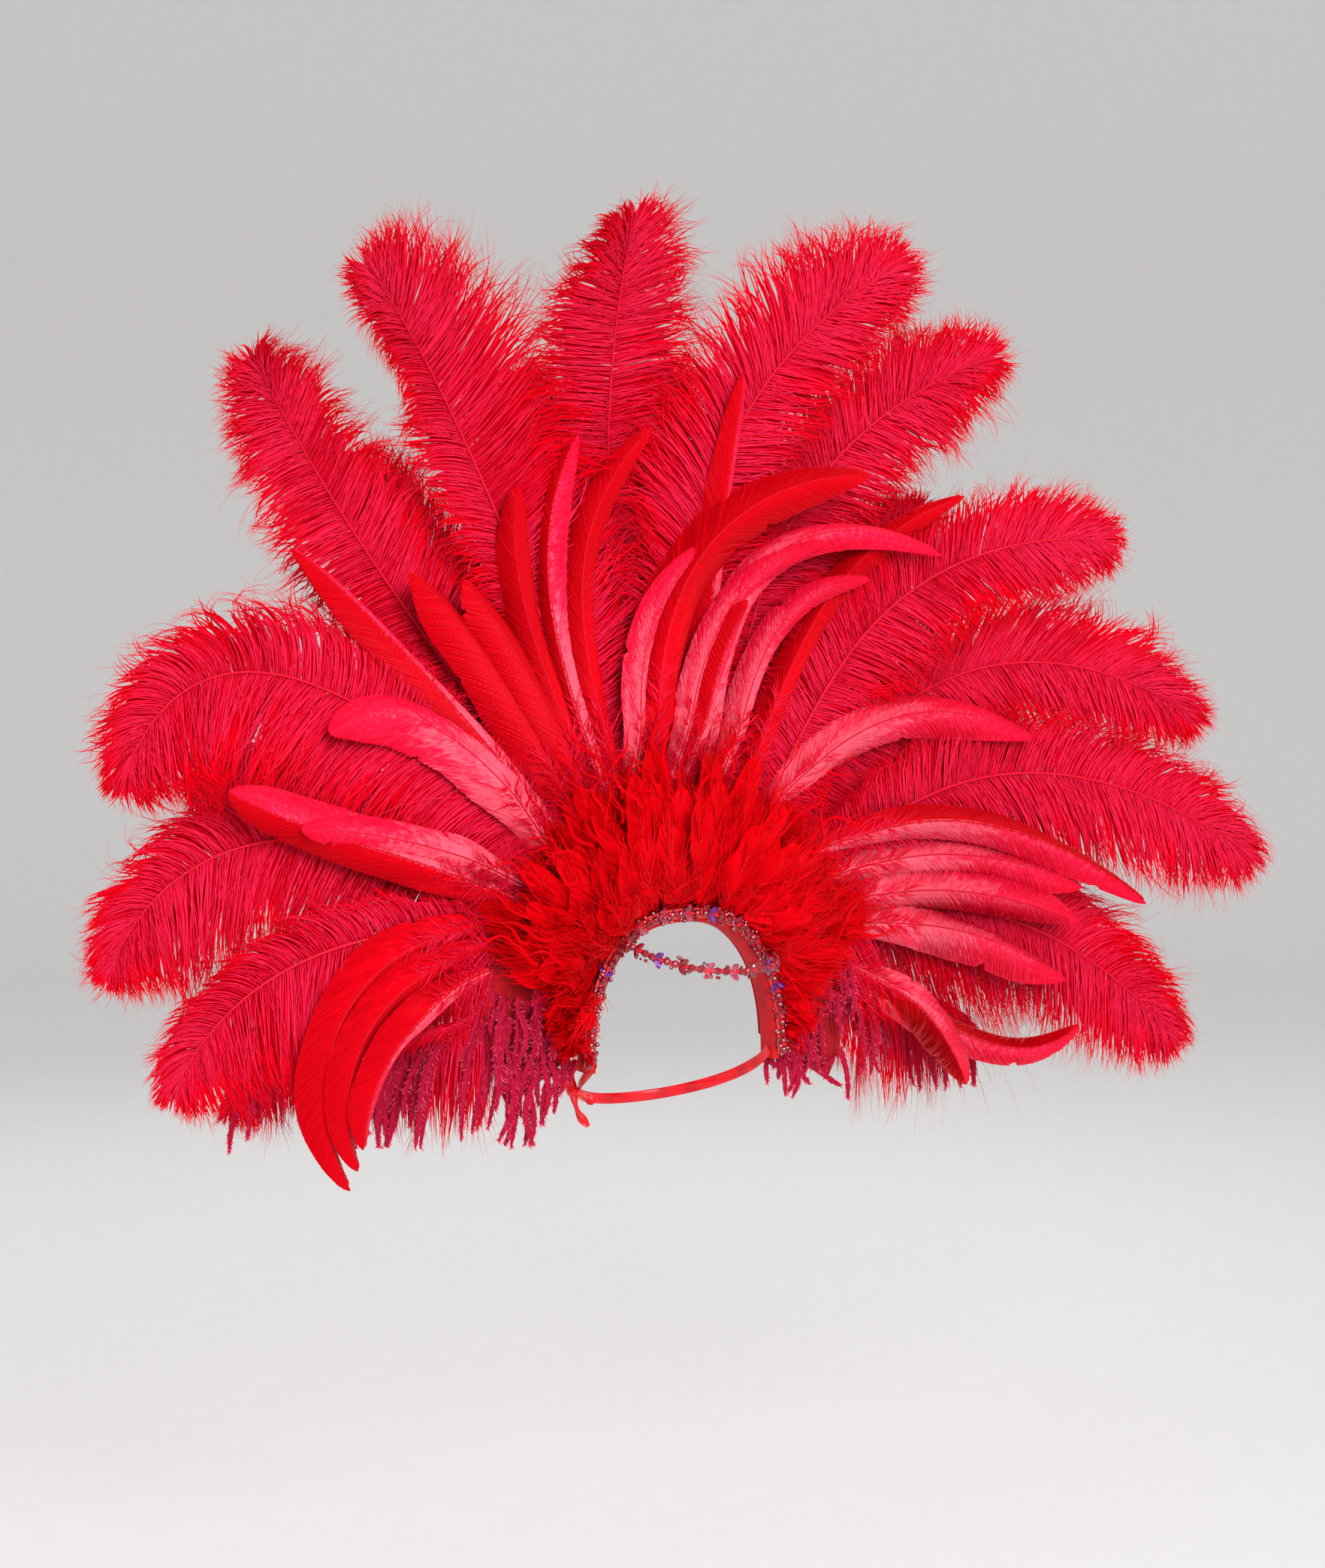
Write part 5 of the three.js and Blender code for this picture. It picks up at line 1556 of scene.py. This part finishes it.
def bow_centre():
    """The middle of the knot, just outside the tie."""
    start = tie_point(np.array([BOW_PLACE]))
    clear = TIE_THICKNESS / 2 + GAP + BOW_KNOT_RADIUS
    return (start + tie_outward(start) * clear - [0, 0, BOW_KNOT_DROP])[0]


def bow_line(ribbon):
    """The curling line of one ribbon of the bow, from the knot outwards."""
    aim = unit(np.array(ribbon["aim"]))
    sideways = unit(np.cross(aim, FORWARD))
    foot = bow_centre() + aim * BOW_KNOT_RADIUS * 0.5
    share = np.linspace(0, 1, 24)[:, None]
    outward = unit(np.concatenate([-0.6 - 0.3 * np.sin(4 * share), -0.8 * np.ones_like(share),
                                   0.3 * np.cos(5 * share)], axis=1))
    points = foot + aim * ribbon["length"] * share
    return Line(points + sideways * ribbon["curl"] * np.sin(math.pi * share), outward)


def settings_of(context, group):
    """The scene's settings of one group of pieces."""
    return getattr(context.scene, "headdress_" + group)


class HEADDRESS_OT_main_plumes(bpy.types.Operator):
    """Build the twelve main ostrich plumes"""

    bl_idname = "headdress.main_plumes"
    bl_label = "Main plumes"

    def execute(self, context):
        settings = settings_of(context, "plumes")
        glint = tuple(settings.glint)
        materials = [
            ostrich_flue("dyed_ostrich_flue", tuple(settings.dye), tuple(settings.bright),
                         tuple(settings.ends), glint),
            feather_quill("dyed_plume_quill", tuple(settings.quill)),
            ostrich_flue("dyed_ostrich_chenille", tuple(settings.chenille),
                         tuple(settings.chenille_tips_and_highlight), tuple(settings.chenille_tips_and_highlight), glint),
        ]
        for i, feather in enumerate(PLUMES):
            build_plume(f"ostrich_plume_{i + 1:02d}", feather, PLUME, settings, MAIN_SEED + i,
                        materials)
        return {"FINISHED"}


class HEADDRESS_OT_under_plumes(bpy.types.Operator):
    """Build the shorter plumes that fill the fan"""

    bl_idname = "headdress.under_plumes"
    bl_label = "Under plumes"

    def execute(self, context):
        settings = settings_of(context, "plumes")
        materials = [bpy.data.materials[name] for name in (
            "dyed_ostrich_flue", "dyed_plume_quill", "dyed_ostrich_chenille")]
        for i, feather in enumerate(UNDER_PLUMES):
            build_plume(f"under_plume_{i + 1:02d}", feather, UNDER, settings, UNDER_SEED + i,
                        materials)
        return {"FINISHED"}


class HEADDRESS_OT_coque_feathers(bpy.types.Operator):
    """Build the rooster tail feathers"""

    bl_idname = "headdress.coque_feathers"
    bl_label = "Rooster feathers"

    def execute(self, context):
        settings = settings_of(context, "coque")
        face, under = tuple(settings.face), tuple(settings.underside)
        blush, streak = tuple(settings.blush), tuple(settings.streak)
        materials = [
            coque_vane("dyed_coque_face", blush, face, under, reach=-0.55, gloss=0.38),
            # The underside and blush materials are paler dye and painted sheen in one
            coque_vane("dyed_coque_underside_and_sheen", under, blush, streak, reach=0.40, gloss=0.42),
            feather_quill("dyed_coque_quill", linear("#C00820")),
            bpy.data.materials["dyed_ostrich_flue"],
            coque_vane("dyed_coque_blush_and_sheen", under, face, streak, reach=-0.42, gloss=0.40),
        ]
        for i, feather in enumerate(COQUE_FEATHERS):
            build_coque(f"coque_feather_{i + 1:02d}", feather, settings, COQUE_SEED + i,
                        materials)
        return {"FINISHED"}


class HEADDRESS_OT_collar(bpy.types.Operator):
    """Build the marabou collar"""

    bl_idname = "headdress.collar"
    bl_label = "Marabou collar"

    def execute(self, context):
        settings = settings_of(context, "collar")
        materials = [marabou_down(settings), feather_quill("dyed_down_quill", linear("#D0303C")),
                     bpy.data.materials["dyed_ostrich_chenille"]]
        build_collar(settings).build("marabou_collar", materials, ["marabou_collar"],
                                     "marabou_fluff")
        return {"FINISHED"}


class HEADDRESS_OT_arch(bpy.types.Operator):
    """Build the padded band and the felt backing"""

    bl_idname = "headdress.arch"
    bl_label = "Arch and backing"

    def execute(self, context):
        settings = settings_of(context, "cloth")
        velvet = noise_cloth("cotton_velvet", tuple(settings.velvet), thread=0.0006,
                             roughness=0.8, sheen=0.6, tint=linear("#FF4050"), depth=0.0003)
        band = band_shape().build("head_arch", [velvet], ["head_arch"], "band_velvet")
        felt = noise_cloth("wool_felt", tuple(settings.felt), thread=0.0010, roughness=0.95,
                           sheen=0.3, tint=linear("#FF4050"), depth=0.0004)
        backing_shape().build("fan_backing_felt", [felt], ["fan_backing"], "backing_felt")
        return {"FINISHED"}


class HEADDRESS_OT_beads(bpy.types.Operator):
    """Build the bead trim and the forehead strand"""

    bl_idname = "headdress.beads"
    bl_label = "Beads"

    def execute(self, context):
        settings = settings_of(context, "trim")
        materials = [
            noise_cloth("satin_cord", tuple(settings.cord), thread=0.0005, roughness=0.35,
                        sheen=0.1, tint=linear("#FF6070"), depth=0.0001),
            coated_glass("red_pressed_glass", tuple(settings.bead), film=0.0, metal=0.1),
            coated_glass("purple_coated_glass", linear("#6A1C8C"), film=460.0, metal=0.5),
            coated_glass("amber_coated_glass", linear("#C4301C"), film=330.0, metal=0.35),
            coated_glass("rose_coated_glass", linear("#B83858"), film=420.0, metal=0.35),
            noise_cloth("coral_satin_braid", tuple(settings.braid), thread=0.0005,
                        roughness=0.35, sheen=0.1, tint=linear("#FFA090"), depth=0.0001),
        ]
        rng = np.random.default_rng(BEAD_SEED)
        trim = Line(trim_point(np.linspace(0, 1, 240)))
        piece = build_string(rng, trim, TRIM_UNITS, TRIM_SEEDS, CORD_RADIUS)
        add_braid(piece, trim)
        piece.build("arch_bead_trim", materials, ["arch_bead_trim"], "beads")
        strand = build_string(rng, strand_line(), STRAND_UNITS, STRAND_SEEDS,
                              STRAND_CORD_RADIUS)
        strand.build("forehead_bead_strand", materials, ["forehead_bead_strand"], "beads")
        return {"FINISHED"}


class HEADDRESS_OT_tie(bpy.types.Operator):
    """Build the satin tie and its bow"""

    bl_idname = "headdress.tie"
    bl_label = "Tie"

    def execute(self, context):
        settings = settings_of(context, "cloth")
        satin = noise_cloth("polyester_satin", tuple(settings.satin), thread=0.0004,
                            roughness=0.3, sheen=0.15, tint=linear("#FF8090"), depth=0.00005)
        points = tie_point(np.linspace(0, 1, 200))
        strap = Shape()
        add_ribbon_body(strap, Line(points, tie_outward(points)), np.full(160, TIE_WIDTH),
                        TIE_THICKNESS, 0.0002)
        strap.build("tie_strap", [satin], ["tie_strap"], "satin")
        share = np.linspace(0, 1, 24)
        for name in ("tie_loop", "tie_tail"):
            piece = Shape()
            for ribbon in BOW_RIBBONS:
                if ribbon["node"] == name:
                    widths = ribbon["width"] * (0.78 + 0.34 * np.sin(share * 9 + 1))
                    add_ribbon_body(piece, bow_line(ribbon), widths, BOW_THICKNESS, 0.0007)
            piece.build(name, [satin], [name], "satin")
        knot = Shape()
        upright = Line(bow_centre() + np.linspace([0, -1, 0], [0, 1, 0], 12) * BOW_KNOT_RADIUS,
                       np.array([0.0, 0.0, 1.0]))
        profile = BOW_KNOT_RADIUS * np.sqrt(np.maximum(0.06, 1 - np.linspace(-1, 1, 12) ** 2))
        add_loft(knot, tube_rings(upright, upright.distance, profile, 20))
        knot.build("tie_knot", [satin], ["tie_knot"], "satin")
        return {"FINISHED"}


class HEADDRESS_OT_stage(bpy.types.Operator):
    """Build the pale floor, the soft lights and the camera"""

    bl_idname = "headdress.stage"
    bl_label = "Stage"

    def execute(self, context):
        settings = settings_of(context, "stage")
        build_floor(settings)
        build_lights(settings)
        build_camera()
        return {"FINISHED"}


def build_floor(settings):
    """A wide pale paper floor that rises smoothly into a wall all round."""
    sides = 96
    flat, rise, wall = 5.0, 2.0, 3.0
    profile = [(0.001, 0.0), (2.5, 0.0), (flat, 0.0)]
    for i in range(1, 13):
        a = math.pi / 2 * i / 12
        profile.append((flat + rise * math.sin(a), rise * (1 - math.cos(a))))
    profile.append((flat + rise, rise + wall))
    a = 2 * np.pi * np.arange(sides) / sides
    points = np.array([[r * np.cos(a), r * np.sin(a), np.full(sides, h)] for r, h in profile])
    points = points.transpose(0, 2, 1) + [0, 0, settings.floor_height]
    index = np.arange(len(profile) * sides).reshape(len(profile), sides)
    nxt = np.roll(index, -1, axis=1)
    faces = np.stack([index[:-1], index[1:], nxt[1:], nxt[:-1]], axis=-1).reshape(-1, 4)
    mesh = bpy.data.meshes.new("studio_floor")
    mesh.from_pydata(points.reshape(-1, 3).tolist(), [], faces.tolist())
    mesh.polygons.foreach_set("use_smooth", np.ones(len(faces), bool))
    paper, tree, shader = new_material("studio_paper", **{"Roughness": 0.9,
                                                          "Specular IOR Level": 0.1})
    where = add_node(tree, "ShaderNodeTexCoord")
    grain = add_node(tree, "ShaderNodeTexNoise", {"Scale": 1 / PAPER_MOTTLE, "Detail": 3.0},
                     {"Vector": where.outputs["Object"]})
    tone = tuple(settings.paper)
    ramp = add_node(tree, "ShaderNodeValToRGB", links={"Fac": grain.outputs[0]},
                    stops=[(0.3, shade(tone, 0.985)), (0.7, tone)])
    tree.links.new(ramp.outputs["Color"], shader.inputs["Base Color"])
    mesh.materials.append(paper)
    floor = bpy.data.objects.new("studio_floor", mesh)
    bpy.context.scene.collection.objects.link(floor)


def outwards_at(azimuth, elevation):
    """The direction from the headdress towards these angles, in degrees from the front."""
    a, e = math.radians(azimuth), math.radians(elevation)
    return Vector((math.sin(a) * math.cos(e), -math.cos(a) * math.cos(e), math.sin(e)))


def place_facing(name, data, place, outwards):
    """Puts a light or a camera at a place, facing back against a direction."""
    holder = bpy.data.objects.new(name, data)
    bpy.context.scene.collection.objects.link(holder)
    holder.location = place
    holder.rotation_mode = "QUATERNION"
    holder.rotation_quaternion = (-outwards).to_track_quat("-Z", "Y")
    return holder


def build_lights(settings):
    """A broad soft key nearly behind the camera, a weak fill to its left and a back light,
    in a pale air."""
    for row in LIGHTS:
        light = bpy.data.lights.new(row["name"], "AREA")
        light.energy = settings.key_power * row["share"]
        light.size = row["size"]
        outwards = outwards_at(row["azimuth"], row["elevation"])
        place_facing(row["name"], light, Vector(LIGHT_TARGET) + outwards * LIGHT_DISTANCE,
                     outwards)
    world = bpy.data.worlds.new("studio_air")
    world.use_nodes = True
    background = world.node_tree.nodes["Background"]
    background.inputs["Color"].default_value = (*AIR_COLOUR, 1.0)
    background.inputs["Strength"].default_value = settings.air
    bpy.context.scene.world = world


def build_camera():
    """The camera stands where the photograph was taken from."""
    camera = bpy.data.cameras.new("camera")
    camera.sensor_width = SENSOR
    camera.lens = SENSOR / 2 / math.tan(math.radians(CAMERA_HEIGHT_OF_VIEW) / 2)
    bpy.context.scene.camera = place_facing(
        "camera", camera, CAMERA_PLACE, outwards_at(CAMERA_AZIMUTH, CAMERA_ELEVATION))
    bpy.context.scene.view_settings.view_transform = "Standard"


GROUPS = {
    "plumes": PlumeSettings,
    "coque": CoqueSettings,
    "collar": CollarSettings,
    "trim": TrimSettings,
    "cloth": ClothSettings,
    "stage": StageSettings,
}
OPERATORS = [
    HEADDRESS_OT_stage,
    HEADDRESS_OT_main_plumes,
    HEADDRESS_OT_under_plumes,
    HEADDRESS_OT_coque_feathers,
    HEADDRESS_OT_collar,
    HEADDRESS_OT_arch,
    HEADDRESS_OT_beads,
    HEADDRESS_OT_tie,
]


class HEADDRESS_PT_sidebar(bpy.types.Panel):
    """Lists the headdress's pieces and their sizes and colours"""

    bl_label = "Headdress"
    bl_idname = "HEADDRESS_PT_sidebar"
    bl_space_type = "VIEW_3D"
    bl_region_type = "UI"
    bl_category = "Headdress"

    def draw(self, context):
        for name, group in GROUPS.items():
            box = self.layout.box()
            box.label(text=group.__doc__.strip())
            for prop in group.__annotations__:
                box.prop(settings_of(context, name), prop)
        for operator in OPERATORS:
            self.layout.operator(operator.bl_idname)


def register():
    """Registers the settings, operators and panel."""
    for cls in (*GROUPS.values(), *OPERATORS, HEADDRESS_PT_sidebar):
        bpy.utils.register_class(cls)
    for name, group in GROUPS.items():
        setattr(bpy.types.Scene, "headdress_" + name, bpy.props.PointerProperty(type=group))


def unregister():
    """Takes back all that register added."""
    for name in GROUPS:
        delattr(bpy.types.Scene, "headdress_" + name)
    for cls in (HEADDRESS_PT_sidebar, *reversed(OPERATORS), *reversed(GROUPS.values())):
        bpy.utils.unregister_class(cls)


def main():
    """Registers the add-on and builds every piece and the stage."""
    register()
    for operator in OPERATORS:
        group, name = operator.bl_idname.split(".")
        getattr(getattr(bpy.ops, group), name)()


if __name__ == "__main__":
    main()
